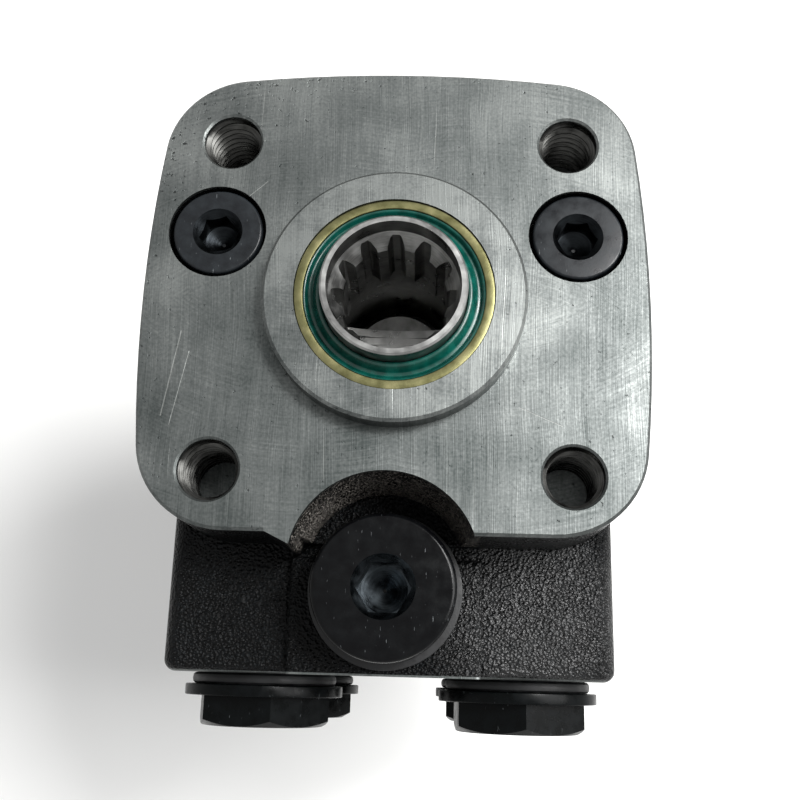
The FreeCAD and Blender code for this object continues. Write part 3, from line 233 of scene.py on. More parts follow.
def groundIronAndEnamel():
    c = casting
    material, tree, place = newMaterial("groundIronAndBlackEnamel")
    axes = addNode(tree, "SeparateXYZ", [place]).node.outputs
    x, y, z = axes["X"], axes["Y"], axes["Z"]
    onPlan = addNode(tree, "VectorMath", [place, (1, 1, 0)], operation="MULTIPLY")
    folded = addNode(tree, "VectorMath", [onPlan], operation="ABSOLUTE")
    found = {"paintedShadeTowardsPorts": y}
    for name, (size, detail, roughness) in c["patterns"].items():
        found[name] = addNode(tree, "TexNoise", {"Vector": place, "Scale": 1 / size, "Detail": detail,
                                                 "Roughness": roughness})

    # machined places, worked out from the frame: top faces, port face with its bright edge, rear face,
    # bore, and the mounts as far down as they are tapped
    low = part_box("housing")[0]
    half = c["mountSpacing"] / 2
    fromMount = addNode(tree, "VectorMath", [folded, (half, half, 0)], operation="DISTANCE")
    fromShaft = addNode(tree, "VectorMath", [folded], operation="LENGTH")
    top, inDepth = [addNode(tree, "Math", [z, c[level]], operation="GREATER_THAN")
                    for level in ("topLevel", "mountDepth")]
    port, rear, inBore, byMount = [
        addNode(tree, "Math", [measure, limit], operation="LESS_THAN")
        for measure, limit in ((y, low.y / mm + c["portEdge"]), (z, low.z / mm + c["rearEdge"]),
                               (fromShaft, c["boreReach"]), (fromMount, c["mountReach"]))]
    inMount = addNode(tree, "Math", [byMount, inDepth], operation="MULTIPLY")
    machined = anyOf(tree, top, port, inMount, inBore, rear)

    # grinding lines run along Y and wander a little, with a fainter set across them
    shift = addNode(tree, "MapRange", [found["wander"], *c["lineWander"]])
    bent = addNode(tree, "VectorMath", [place, addNode(tree, "CombineXYZ", [shift])], operation="ADD")
    for name in ("lines", "cross", "broad", "fine"):
        found[name] = brushed(tree, bent, *c[name])
    # the lines show in some patches and are worn off in others, where an arc of the grinding cup is seen
    patch = addNode(tree, "MapRange", [found["patch"], *c["patchRange"]])
    arcs = addNode(tree, "VectorMath", [folded, (*c["arcCentre"], 0)], operation="DISTANCE")
    arcPlace = addNode(tree, "CombineXYZ", [layered(tree, (measure, perMm)) for measure, perMm in (
        (arcs, c["arcsPerMm"]), (x, c["arcDrift"]), (y, c["arcDrift"]))])
    arcNoise = addNode(tree, "TexNoise", {"Vector": arcPlace, "Scale": 1.0, "Detail": 3.0})
    found["grinding"] = addNode(tree, "Mix", [patch, arcNoise, found["lines"]])
    # the boss is worn brighter in blots, and painted shade darkens the face towards the port side
    found["onBoss"] = addNode(tree, "Math", [addNode(tree, "MapRange", [z, *c["bossRange"]]),
                                             addNode(tree, "MapRange", [found["blots"], *c["blotRange"]])],
                              operation="MULTIPLY")
    tone = layered(tree, *[(found[name], share) for name, share in c["toneShares"].items()])
    iron = addNode(tree, "ValToRGB", [tone], stops=c["iron"])
    # dark pits of the grey iron, closer together towards the rim and the corner at the upper left
    found["rim"] = anyOf(tree, addNode(tree, "MapRange", [x, *c["rimX"]]),
                         addNode(tree, "MapRange", [y, *c["rimY"]]))
    found["corner"] = addNode(tree, "MapRange", [layered(tree, (x, -1.0), (y, 1.0)), *c["corner"]])
    pitLevel = layered(tree, *[(found[name], share) for name, share in c["pitShares"].items()])
    found["pitted"] = addNode(tree, "MapRange", [pitLevel, *c["pitRange"]])
    iron = addNode(tree, "Mix", [found["pitted"], iron, c["fleck"]], data_type="RGBA")
    scratched = [addNode(tree, "Math", [scratch(tree, place, *ends), c["scratchShare"]], operation="MULTIPLY")
                 for ends in c["scratches"]]
    found["marks"] = anyOf(tree, addNode(tree, "MapRange", [found["fine"], *c["markRange"]]), *scratched)
    shown = addNode(tree, "Math", [found["marks"], c["brightShare"]], operation="MULTIPLY")
    iron = addNode(tree, "Mix", [shown, iron, c["bright"]], data_type="RGBA")

    # enamel is thin over the sand skin, so its grains stand out; the niche shows bare grey-beige grains
    found["sand"] = addNode(tree, "TexVoronoi", {"Vector": place, "Scale": 1 / c["sandGrain"]})
    thinLevel = layered(tree, *[(found[name], share) for name, share in c["thinShares"].items()])
    thin = addNode(tree, "MapRange", [thinLevel, *c["thinRange"]])
    enamel = addNode(tree, "Mix", [thin, c["enamel"], c["enamelThin"]], data_type="RGBA")
    fromNiche = addNode(tree, "VectorMath", [onPlan, (*c["nicheCentre"], 0)], operation="DISTANCE")
    nicheWall = addNode(tree, "MapRange", [fromNiche, c["nicheReach"] + c["nicheEdge"], c["nicheReach"]])
    above = addNode(tree, "MapRange", [z, c["nicheFloor"], c["nicheFloor"] + c["nicheEdge"]])
    fading = addNode(tree, "MapRange", [z, *c["bareFading"]])
    grains = addNode(tree, "MapRange", [layered(tree, (found["speck"], 1.0), (fading, 1.0)), *c["bareRange"]])
    bare = addNode(tree, "Math", [nicheWall, above], operation="MULTIPLY")
    bare = addNode(tree, "Math", [bare, grains], operation="MULTIPLY")
    enamel = addNode(tree, "Mix", [bare, enamel, c["bareGrain"]], data_type="RGBA")
    base = addNode(tree, "Mix", [machined, enamel, iron], data_type="RGBA")
    rough = addNode(tree, "Mix", [machined, addNode(tree, "MapRange", [found["lumps"], *c["enamelRough"]]),
                                  addNode(tree, "MapRange", [tone, *c["ironRough"]])])
    # painted sheen: the enamel is made to reflect more on the right of the block's shoulder
    fromPaintedSheen = addNode(tree, "VectorMath", [onPlan, (*c["paintedSheenCentre"], 0)], operation="DISTANCE")
    paintedSheen = addNode(tree, "MapRange", [fromPaintedSheen, *c["paintedSheenReach"], *c["paintedSheen"]],
                    interpolation_type="SMOOTHSTEP")
    tree.links.new(paintedSheen, tree.nodes["Principled BSDF"].inputs["Specular IOR Level"])
    skin, cut = [layered(tree, *[(found[name], share) for name, share in c[shares].items()])
                 for shares in ("skinShares", "cutShares")]
    dress(tree, base, rough, addNode(tree, "Mix", [machined, skin, cut]), c["relief"], machined)
    return material


# ground and hardened steel: fine turning lines and a light oil stain over a soft metal shine
steel = {
    "stops": ((0.35, "#686867"), (0.65, "#9b9b99")),
    "turning": (0.3, 0.3, 7.0),
    "stain": 3.0,
    "lineShare": 0.4,
    "stainShare": 0.6,
    "roughSpan": (-0.06, 0.14),
    "relief": 0.012,
}


def groundSteel(name="groundSteel", stops=steel["stops"], rough=0.3):
    material, tree, place = newMaterial(name, Metallic=1.0)
    turning = addNode(tree, "VectorMath", [place, steel["turning"]], operation="MULTIPLY")
    lines = addNode(tree, "TexNoise", {"Vector": turning, "Scale": 1.0, "Detail": 2.0})
    stain = addNode(tree, "TexNoise", {"Vector": place, "Scale": 1 / steel["stain"], "Detail": 4.0})
    tone = layered(tree, (lines, steel["lineShare"]), (stain, steel["stainShare"]))
    base = addNode(tree, "ValToRGB", [tone], stops=stops)
    roughness = addNode(tree, "MapRange", [stain, *spread, *[rough + step for step in steel["roughSpan"]]])
    dress(tree, base, roughness, lines, steel["relief"])
    return material


# black oxide on steel: blue-black, slightly mottled, rubbed brighter in short scratches
oxide = {
    "stops": ((0.36, "#0b0d10"), (0.66, "#15191c")),
    "mottle": 2.2,
    "grain": 0.25,
    "mottleShare": 0.7,
    "grainShare": 0.3,
    "roughSpan": (-0.08, 0.12),
    "rubbed": "#8d9295",
    # width, length, turn and detail of the two sets of rubs, and where they begin to show
    "rubs": (((0.3, 2.2, 38, 2.0), (0.72, 0.78, 0.0, 0.4)), ((0.3, 1.6, 115, 2.0), (0.73, 0.79, 0.0, 0.4))),
    "grainHeight": 0.3,
    "rubHeight": -1.0,
    "relief": 0.03,
}


def blackOxide(name="blackOxide", stops=oxide["stops"], rough=0.32, level=0.22):
    material, tree, place = newMaterial(name, IOR=1.5, Specular_IOR_Level=level)
    mottle = addNode(tree, "TexNoise", {"Vector": place, "Scale": 1 / oxide["mottle"], "Detail": 4.0})
    fine = addNode(tree, "TexNoise", {"Vector": place, "Scale": 1 / oxide["grain"], "Detail": 2.0})
    tone = layered(tree, (mottle, oxide["mottleShare"]), (fine, oxide["grainShare"]))
    base = addNode(tree, "ValToRGB", [tone], stops=stops)
    rubs = anyOf(tree, *[addNode(tree, "MapRange", [brushed(tree, place, *run), *reach])
                         for run, reach in oxide["rubs"]])
    base = addNode(tree, "Mix", [rubs, base, oxide["rubbed"]], data_type="RGBA")
    roughness = addNode(tree, "MapRange", [mottle, *spread, *[rough + step for step in oxide["roughSpan"]]])
    height = layered(tree, (fine, oxide["grainHeight"]), (rubs, oxide["rubHeight"]))
    dress(tree, base, roughness, height, oxide["relief"])
    return material


# finishes in soft patches of tone over a fine grain: sizes with their detail, roughness and relief in mm
patchy = {
    # zinc with a yellow chromate: olive gold with faint patches of green and brown
    "yellowZinc": {
        "stops": ((0.3, "#585638"), (0.5, "#686647"), (0.7, "#736f50")), "patches": (2.5, 3.0),
        "grain": (0.3, 2.0), "rough": (0.28, 0.42), "relief": 0.012, "surface": {"Metallic": 1.0}},
    # moulded green elastomer of the dust lip: wet-looking, with a faint mould skin
    "greenElastomer": {
        "stops": ((0.35, "#002e27"), (0.65, "#004239")), "patches": (2.0, 3.0),
        "grain": (2.0, 3.0), "rough": (0.20, 0.32), "relief": 0.015,
        "surface": {"IOR": 1.5, "Specular_IOR_Level": 0.4}},
    # nitrile rubber: matt black with a grey bloom
    "nitrileRubber": {
        "stops": ((0.35, "#070708"), (0.7, "#161718")), "patches": (1.6, 4.0),
        "grain": (0.35, 2.0), "rough": (0.42, 0.6), "relief": 0.02,
        "surface": {"IOR": 1.5, "Specular_IOR_Level": 0.3}},
    # annealed copper of the sealing washers: soft red metal, dull where it was pressed
    "annealedCopper": {
        "stops": ((0.3, "#8a4d33"), (0.66, "#c08060")), "patches": (1.8, 4.0),
        "grain": (0.4, 2.0), "rough": (0.28, 0.5), "relief": 0.012, "surface": {"Metallic": 1.0}},
    # slide ring filled with bronze: brown, with a dark metal shine
    "bronzeFilledPlastic": {
        "stops": ((0.3, "#3c2a1a"), (0.7, "#6a4b2f")), "patches": (1.8, 4.0),
        "grain": (0.4, 2.0), "rough": (0.28, 0.5), "relief": 0.012, "surface": {"Metallic": 1.0}},
}


def patchyFinish(name):
    values = patchy[name]
    material, tree, place = newMaterial(name, **values["surface"])
    patches, grain = [addNode(tree, "TexNoise", {"Vector": place, "Scale": 1 / size, "Detail": detail})
                      for size, detail in (values["patches"], values["grain"])]
    base = addNode(tree, "ValToRGB", [patches], stops=values["stops"])
    roughness = addNode(tree, "MapRange", [patches, *spread, *values["rough"]])
    dress(tree, base, roughness, grain, values["relief"])
    return material


# black gloss enamel over turned iron: the turning still shows as fine rings, with dust in the enamel
turnedEnamel = {
    "stops": ((0.4, "#080808"), (0.68, "#171615")),
    "turning": (0.12, 0.12, 3.5),
    "dust": 3.0,
    "rough": (0.22, 0.4),
    "ringHeight": 1.0,
    "dustHeight": 0.6,
    "relief": 0.06,
}


def enamelOnTurnedIron():
    material, tree, place = newMaterial("enamelOnTurnedIron", IOR=1.5, Specular_IOR_Level=0.3)
    turning = addNode(tree, "VectorMath", [place, turnedEnamel["turning"]], operation="MULTIPLY")
    rings = addNode(tree, "TexNoise", {"Vector": turning, "Scale": 1.0, "Detail": 2.0})
    dust = addNode(tree, "TexNoise", {"Vector": place, "Scale": 1 / turnedEnamel["dust"], "Detail": 6.0})
    base = addNode(tree, "ValToRGB", [dust], stops=turnedEnamel["stops"])
    roughness = addNode(tree, "MapRange", [dust, *spread, *turnedEnamel["rough"]])
    height = layered(tree, (rings, turnedEnamel["ringHeight"]), (dust, turnedEnamel["dustHeight"]))
    dress(tree, base, roughness, height, turnedEnamel["relief"])
    return material


finishes = {
    "machined_iron": groundIronAndEnamel(),
    "gear_steel": groundSteel(),
    "black_oxide": blackOxide(),
    "zinc_yellow": patchyFinish("yellowZinc"),
    "green_rubber": patchyFinish("greenElastomer"),
    "black_rubber": patchyFinish("nitrileRubber"),
    "slide_plastic": patchyFinish("bronzeFilledPlastic"),
    "copper_washer": patchyFinish("annealedCopper"),
    "black_iron": enamelOnTurnedIron(),
}
# pieces whose own finish differs from the rest of their slot: a glossy black on the relief plug, an oiled one
# on the port plugs, dark iron in the threads as painted shade, and in the sockets a lighter steel as painted
# highlight or a darker one as painted shade
own = {
    "relief_plug": blackOxide("glossBlackOxide", ((0.36, "#030304"), (0.66, "#08090a")), 0.18, 0.10),
    # darker iron in the tapped holes: painted shade of the holes
    "threads": groundSteel("paintedShadeTappedIron", ((0.35, "#1b1b1a"), (0.65, "#4c4c4a")), 0.26),
    # lighter steel inside the relief plug's socket: a painted highlight
    "relief_socket": groundSteel("paintedHighlightSocketSteel", ((0.35, "#1c1f22"), (0.65, "#4a5054")), 0.26),
    # darker steel inside the shock plugs' sockets: painted shade of the recess
    "shock_socket": groundSteel("paintedShadeSocketSteel", ((0.35, "#0e0f11"), (0.65, "#232628")), 0.30),
    "port_plugs": blackOxide("oiledBlackOxide", ((0.36, "#020303"), (0.66, "#07090a")), 0.28, 0.06),
}
for part in frame["record"]["subparts"]:
    slots = nodes[part["node"]].data.materials
    slots.clear()
    slots.append(own.get(part["node"], finishes[part["material_slot"]]))


# a piece from a mesh that is drawn in mm about its own Z axis, then turned and set in its place;
# body is a body's name, to which the piece is attached; given two names and two points instead, the piece
# stays in place and they are not used
def newPiece(name, draft, body, slot, placing=None, finish=None, stands=()):
    bmesh.ops.remove_doubles(draft, verts=draft.verts, dist=weldGap)
    bmesh.ops.recalc_face_normals(draft, faces=draft.faces)
    bmesh.ops.transform(draft, matrix=Matrix.Scale(mm, 4) @ (placing or Matrix()), verts=draft.verts)
    mesh = bpy.data.meshes.new(name)
    draft.to_mesh(mesh)
    draft.free()
    mesh.shade_smooth()
    mesh.set_sharp_from_angle(angle=math.radians(smoothBelow))
    mesh.materials.append(finish or finishes[slot])
    piece = bpy.data.objects.new(name, mesh)
    scene.collection.objects.link(piece)
    if isinstance(body, str):
        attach(piece, body)
    else:
        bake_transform(piece)
    if stands:
        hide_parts(*stands)
    return piece


# sets a draft in its place and adds it to a larger one
def addDraft(whole, draft, placing):
    bmesh.ops.transform(draft, matrix=placing, verts=draft.verts)
    mesh = bpy.data.meshes.new("added")
    draft.to_mesh(mesh)
    draft.free()
    whole.from_mesh(mesh)
    bpy.data.meshes.remove(mesh)


# a copy of a solid's mesh, which is in metres as in the frame
def copyOf(nodeName):
    draft = bmesh.new()
    draft.from_mesh(nodes[nodeName].data)
    return draft


def inMm(draft):
    bmesh.ops.scale(draft, vec=(1 / mm, 1 / mm, 1 / mm), verts=draft.verts)
    return draft


# the middle of a solid's box, in mm
def middleOf(nodeName):
    return [(a + b) / 2 / mm for a, b in zip(*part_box(nodeName))]


# joins rings of points into a skin; each ring has as many points as the first
def skinOver(draft, rings, closed=False):
    rows = [[draft.verts.new(point) for point in ring] for ring in rings]
    for low, high in zip(rows, rows[1:] + rows[:1] if closed else rows[1:]):
        for k in range(len(low)):
            after = (k + 1) % len(low)
            draft.faces.new((low[k], low[after], high[after], high[k]))
    return rows


# points in the given directions, each at its own radius and height
def around(turns, radii, heights):
    return [(r * math.cos(t), r * math.sin(t), z) for r, z, t in zip(radii, heights, turns)]


# rounds the corners of a (radius, height) outline; an open one keeps its two ends, and a corner takes up
# no more than 1 / spare of the sides beside it
def eased(outline, radius, steps=3, closed=True, spare=2.2):
    points = []
    for k, corner in enumerate(outline):
        here = Vector(corner)
        if not closed and k in (0, len(outline) - 1):
            points.append(here)
            continue
        before = Vector(outline[k - 1]) - here
        after = Vector(outline[(k + 1) % len(outline)]) - here
        room = min(radius, before.length / spare, after.length / spare)
        start, end = here + before.normalized() * room, here + after.normalized() * room
        for step in range(steps + 1):
            t = step / steps
            points.append((1 - t) ** 2 * start + 2 * t * (1 - t) * here + t ** 2 * end)
    return points


def turnedDraft(outline, easing, count=128):
    draft = bmesh.new()
    turns = [2 * math.pi * k / count for k in range(count)]
    skinOver(draft, [around(turns, [r] * count, [z] * count) for r, z in eased(outline, easing)], closed=True)
    return draft


# directions and reaches along a hexagon's outline
def hexagon(flats, turn, perSide=16):
    degrees = [60 * k / perSide for k in range(6 * perSide)]
    turns = [math.radians(d + turn) for d in degrees]
    return turns, [flats / 2 / math.cos(math.radians(d % 60 - 30)) for d in degrees]


# hexagon head with its corners cut off by a cone, as on a turned bar; it adds to the draft
def hexHead(draft, flats, low, high, turn, cutAt=0.985, slope=30.0):
    turns, across = hexagon(flats, turn)
    level = flats / 2 * cutAt
    fall = math.tan(math.radians(slope))
    rows = skinOver(draft, [around(turns, across, [low] * len(turns)),
                            around(turns, across, [high - (r - level) * fall for r in across]),
                            around(turns, [level] * len(turns), [high] * len(turns))])
    draft.faces.new(rows[-1])


# what all sockets share: the drilled hole's radius as a share of the hexagon's, the depth of its point as a
# share of that radius, the point's own radius, and how many rings of faces inside take the painted highlight
# or painted shade
socketForm = {"drilled": 0.97, "pointDepth": 0.55, "point": 0.3, "paintedSocketRings": 4}


# plug with a hexagon socket: a cone leads into the hexagon, so each flat ends in a curved lip;
# the outline runs from the mouth of the cone over the head and down the shank
def socketPlug(name, values, outline, finish=None):
    turns, across = hexagon(values["flats"], values["turn"])
    count = len(turns)
    face = outline[0][1]
    floorLevel = face - values["depth"]
    fall = math.tan(math.radians(values["coneSlope"]))
    drilled = values["flats"] / 2 * socketForm["drilled"]
    pointLevel = floorLevel - drilled * socketForm["pointDepth"]
    rings = [around(turns, [socketForm["point"]] * count, [pointLevel] * count),
             around(turns, [drilled] * count, [floorLevel] * count),
             around(turns, across, [floorLevel] * count),
             around(turns, across, [face - (values["mouth"] - r) * fall for r in across])]
    rings += [around(turns, [r] * count, [z] * count)
              for r, z in eased(outline, values["easing"], closed=False)]
    draft = bmesh.new()
    rows = skinOver(draft, rings)
    draft.faces.ensure_lookup_table()
    for paintedSocketFace in draft.faces[:socketForm["paintedSocketRings"] * count]:
        paintedSocketFace.material_index = 1
    draft.faces.new(rows[0])
    draft.faces.new(rows[-1])
    x, y, _ = middleOf(name)
    piece = newPiece(name + "_socket_plug", draft, "housing", "black_oxide", Matrix.Translation((x, y, 0)),
                     finish, [name])
    piece.data.materials.append(own[values["socketPaintedLight"]])


reliefPlug = {
    "flats": 8.0, "mouth": 5.25, "coneSlope": 52.0, "depth": 7.0, "turn": 0.0, "easing": 0.35,
    "head": 11.8, "headChamfer": 0.55, "shank": 9.0, "endChamfer": 1, "socketPaintedLight": "relief_socket",
}
r = reliefPlug
bottom, top = [corner.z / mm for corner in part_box("relief_plug")]
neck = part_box("relief_plug_washer")[1].z / mm
socketPlug("relief_plug", r, [
    (r["mouth"], top), (r["head"] - r["headChamfer"], top), (r["head"], top - r["headChamfer"]),
    (r["head"], neck), (r["shank"], neck), (r["shank"], bottom + r["endChamfer"]),
    (r["shank"] - r["endChamfer"], bottom)], own["relief_plug"])

# flush plugs of the shock valves, hollow from below for the spring
shockPlug = {
    "flats": 6.0, "mouth": 4.25, "coneSlope": 48.0, "depth": 4.3, "easing": 0.16,
    "head": 7.65, "headChamfer": 0.3, "headThick": 3.85, "shank": 6.0,
    "springHole": 3.5, "springHoleTop": 4.5, "holePoint": 0.3, "socketPaintedLight": "shock_socket",
    "turns": {"left": 12.0, "right": 0.0},
}
for side, turn in shockPlug["turns"].items():
    r = {**shockPlug, "turn": turn}
    bottom, top = [corner.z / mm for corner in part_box(side + "_shock_plug")]
    neck = top - r["headThick"]
    holeTop = neck - r["springHoleTop"]
    socketPlug(side + "_shock_plug", r, [
        (r["mouth"], top), (r["head"] - r["headChamfer"], top), (r["head"], top - r["headChamfer"]),
        (r["head"], neck), (r["shank"], neck), (r["shank"], bottom), (r["springHole"], bottom),
        (r["springHole"], holeTop), (r["holePoint"], holeTop)])
print("socket plugs stand")

# hexagon-head plugs in the port face, each with its collar; the O-rings under them
portPlug = {
    "flats": 22.0,
    "head": 5.1,
    "collar": 14.2,
    "collarThick": 1.9,
    "gap": 2.0,
    "shank": 10.43,
    "endChamfer": 1,
    "core": 2,
    "easing": 0.25,
    "turns": {"front_left": 16.0, "front_right": 28.0, "rear_left": 5.0, "rear_right": 40.0},
    "ringOuter": 13.0,
    "ringPlay": 0.05,
    "ringEasing": 0.9,
}
p = portPlug
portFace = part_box("housing")[0].y / mm
towardsPorts = Matrix.Rotation(math.radians(90), 4, "X")
ringDraft = bmesh.new()
for label, turn in p["turns"].items():
    x, _, z = middleOf(label + "_port_plug")
    spot = Matrix.Translation((x, portFace, z)) @ towardsPorts
    foot, seat = -(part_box(label + "_port_plug")[1].y / mm - portFace), p["gap"]
    collarTop = seat + p["collarThick"]
    draft = turnedDraft([
        (p["core"], foot), (p["shank"] - p["endChamfer"], foot), (p["shank"], foot + p["endChamfer"]),
        (p["shank"], seat), (p["collar"], seat), (p["collar"], collarTop), (p["core"], collarTop)],
        p["easing"])
    hexHead(draft, p["flats"], collarTop, collarTop + p["head"], turn)
    newPiece(label + "_plug", draft, "housing", "black_oxide", spot, own["port_plugs"],
             [label + "_port_plug"])
    inner = p["shank"] + p["ringPlay"]
    tube = [(inner, 0), (p["ringOuter"], 0), (p["ringOuter"], seat), (inner, seat)]
    addDraft(ringDraft, turnedDraft(tube, p["ringEasing"]), spot)
newPiece("port_rings", ringDraft, "housing", "black_rubber", stands=["port_plug_o_rings"])
print("port plugs stand")

# dust seal: folded metal case and the lip that wipes the shaft, with a moulded groove between
dustSeal = {
    "case": 16.5,
    "caseHole": 12.35,
    "caseInner": 14.9,
    "caseTop": 3.7,
    "sheet": 0.9,
    "caseEasing": 0.3,
    "lipHole": 12.55,
    # radius and height over the case's top: from the case down the groove, over the lip and to the shaft
    "lip": ((14.9, -0.2), (14.5, -0.35), (14.1, -1.1), (13.5, -0.9), (12.7, 0.4), (12.3, 0.5), (12.0, 0.2),
            (12.0, -0.6), (12.55, -1.5)),
    "lipEasing": 0.28,
    "count": 192,
}
d = dustSeal
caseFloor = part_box("dust_seal_case")[0].z / mm
lipFloor = caseFloor + d["sheet"]
caseOutline = [(d["caseHole"], caseFloor), (d["case"], caseFloor), (d["case"], d["caseTop"]),
               (d["caseInner"], d["caseTop"]), (d["caseInner"], lipFloor), (d["caseHole"], lipFloor)]
newPiece("seal_case", turnedDraft(caseOutline, d["caseEasing"], d["count"]), "housing", "zinc_yellow",
         stands=["dust_seal_case"])
lipOutline = [(d["lipHole"], lipFloor), (d["caseInner"], lipFloor)]
lipOutline += [(radius, d["caseTop"] + rise) for radius, rise in d["lip"]]
newPiece("seal_lip", turnedDraft(lipOutline, d["lipEasing"], d["count"]), "housing", "green_rubber",
         stands=["dust_seal_lip"])
print("dust seal stands")

# tapped holes: the thread's ridges wind down the drilled wall, and the first and last turn run out;
# half widths of a ridge at its foot and its crest are shares of the pitch
tapped = {
    "radius": 5.0,
    "overlap": 0.02,
    "crest": 4.22,
    "pitch": 1.5,
    "footHalf": 0.44,
    "crestHalf": 0.08,
    "start": -0.5,
    "end": -15.3,
    "stepsPerTurn": 48,
    "runOutSteps": 24,
}


def threadDraft(values):
    draft = bmesh.new()
    turns = (values["start"] - values["end"]) / values["pitch"]
    steps = int(turns * values["stepsPerTurn"])
    wall, overlap = values["radius"], values["overlap"]
    # root, foot and crest, then the same back to the next root
    rising = [(wall + overlap, 0.5), (wall - overlap, values["footHalf"]),
              (values["crest"], values["crestHalf"])]
    section = [(radius, -offset) for radius, offset in rising] + rising[::-1]
    rows = []
    for step in range(steps + 1):
        angle = 2 * math.pi * step / values["stepsPerTurn"]
        level = values["start"] - values["pitch"] * (0.5 + step / values["stepsPerTurn"])
        fade = min(1.0, step / values["runOutSteps"], (steps - step) / values["runOutSteps"])
        row = []
        for radius, offset in section:
            reach = wall - (wall - radius) * fade if radius < wall else radius
            height = max(level + offset * values["pitch"], values["end"])
            row.append(draft.verts.new((reach * math.cos(angle), reach * math.sin(angle), height)))
        rows.append(row)
    for first, second in zip(rows, rows[1:]):
        for k in range(len(section) - 1):
            draft.faces.new((first[k], first[k + 1], second[k + 1], second[k]))
    return draft


half = casting["mountSpacing"] / 2
mounts = (-half, half), (half, half), (half, -half), (-half, -half)
for number, (x, y) in enumerate(mounts, start=1):
    newPiece(f"tapped_thread_{number}", threadDraft(tapped), "housing", "machined_iron",
             Matrix.Translation((x, y, 0)), own["threads"])
print("threads stand")

# cover screws: heads with cut corners on their washers, six alike and the first with a guide pin
coverScrew = {
    "flats": 13.0,
    "head": 5.3,
    "shank": 3.95,
    "core": 0.8,
    "pin": 1.5,
    "pinLength": 2.5,
    "easing": 0.2,
    "count": 48,
    "inset": 7.8,
    "washerThick": 1.0,
    "turns": (0.0, 14.0, 41.0, 9.0, 52.0, 27.0, 35.0),
}
s = coverScrew
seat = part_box("end_cover")[0].z / mm - s["washerThick"]
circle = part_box("end_cover")[1].x / mm - s["inset"]
screwDraft = bmesh.new()
for k, turn in enumerate(s["turns"]):
    angle = 2 * math.pi * k / len(s["turns"])
    spot = Matrix.Translation((circle * math.cos(angle), circle * math.sin(angle), seat)) \
        @ Matrix.Rotation(math.pi, 4, "X")
    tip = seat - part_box("cover_screws" if k else "pin_screw")[1].z / mm
    end = [(s["shank"], tip)] if k else \
        [(s["pin"], tip), (s["pin"], tip + s["pinLength"]), (s["shank"], tip + s["pinLength"])]
    draft = turnedDraft([(s["core"], tip), *end, (s["shank"], 0), (s["core"], 0)], s["easing"], s["count"])
    hexHead(draft, s["flats"], 0, s["head"], turn)
    if k:
        addDraft(screwDraft, draft, spot)
    else:
        newPiece("guide_pin_screw", draft, "housing", "black_oxide", spot, stands=["pin_screw"])
newPiece("six_cover_screws", screwDraft, "housing", "black_oxide", stands=["cover_screws"])
print("cover screws stand")

# pieces whose edges catch the light: a copy of the solid with its edges eased, widths in mm;
# the weld is in metres, the angles in degrees
easedEdges = {
    "relief_plug_washer": 0.2,
    "cover_washers": 0.1,
    "end_cover": 0.4,
    "distributor_plate": 0.25,
    "stator": 0.25,
}
edgeForm = {"weld": 1e-6, "flatBelow": 0.6, "sharpAbove": 32, "segments": 2, "profile": 0.6}
slotOf = {part["node"]: part["material_slot"] for part in frame["record"]["subparts"]}
for nodeName, width in easedEdges.items():
    draft = copyOf(nodeName)
    bmesh.ops.remove_doubles(draft, verts=draft.verts, dist=edgeForm["weld"])
    bmesh.ops.dissolve_limit(draft, angle_limit=math.radians(edgeForm["flatBelow"]), verts=draft.verts,
                             edges=draft.edges)
    sharp = [edge for edge in draft.edges
             if edge.is_manifold and edge.calc_face_angle(0) > math.radians(edgeForm["sharpAbove"])]
    bmesh.ops.bevel(draft, geom=sharp, offset=width * mm, segments=edgeForm["segments"],
                    profile=edgeForm["profile"], affect="EDGES", clamp_overlap=True)
    newPiece(nodeName + "_eased", inMm(draft), "housing", slotOf[nodeName], stands=[nodeName])
print("eased edges on", len(easedEdges), "pieces")

# coil springs, each listed with what it presses on and the height of that end in mm; the copies stay where
# they are
coilSprings = {
    "relief_spring": ("relief_cone", -54.4),
    "left_shock_spring": ("left_shock_ball", -23.2),
    "right_shock_spring": ("right_shock_ball", -23.2),
}
for name, (pressed, pressedEnd) in coilSprings.items():
    ends = (0, 0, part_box(name)[1].z), (0, 0, pressedEnd * mm)
    newPiece(name + "_coil", inMm(copyOf(name)), ("housing", pressed, *ends), "gear_steel", stands=[name])

# leaf springs: their middle lies in the spool's slot and their ends in the sleeve's; each half is cut off
# and sliced at the listed cuts, and stays where it is
leafSprings = {
    "inSpool": 13.8,
    "inSleeve": 16.2,
    "cuts": (12.6, 13.2, 13.8, 14.4, 15.0, 15.6, 16.2, 16.8),
}
for label, side in (("right", 1), ("left", -1)):
    draft = inMm(copyOf("neutral_springs"))
    bmesh.ops.remove_doubles(draft, verts=draft.verts, dist=weldGap)
    bmesh.ops.bisect_plane(draft, geom=draft.verts[:] + draft.edges[:] + draft.faces[:], plane_co=(0, 0, 0),
                           plane_no=(side, 0, 0), clear_inner=True)
    bmesh.ops.holes_fill(draft, edges=[edge for edge in draft.edges if edge.is_boundary])
    for cut in leafSprings["cuts"]:
        bmesh.ops.bisect_plane(draft, geom=draft.verts[:] + draft.edges[:] + draft.faces[:],
                               plane_co=(side * cut, 0, 0), plane_no=(1, 0, 0))
    ends = (side * leafSprings["inSleeve"] * mm, 0, 0), (side * leafSprings["inSpool"] * mm, 0, 0)
    newPiece("leaf_springs_" + label, draft, ("sleeve", "spool", *ends), "gear_steel",
             stands=["neutral_springs"] if side == 1 else ())
print("springs stand")

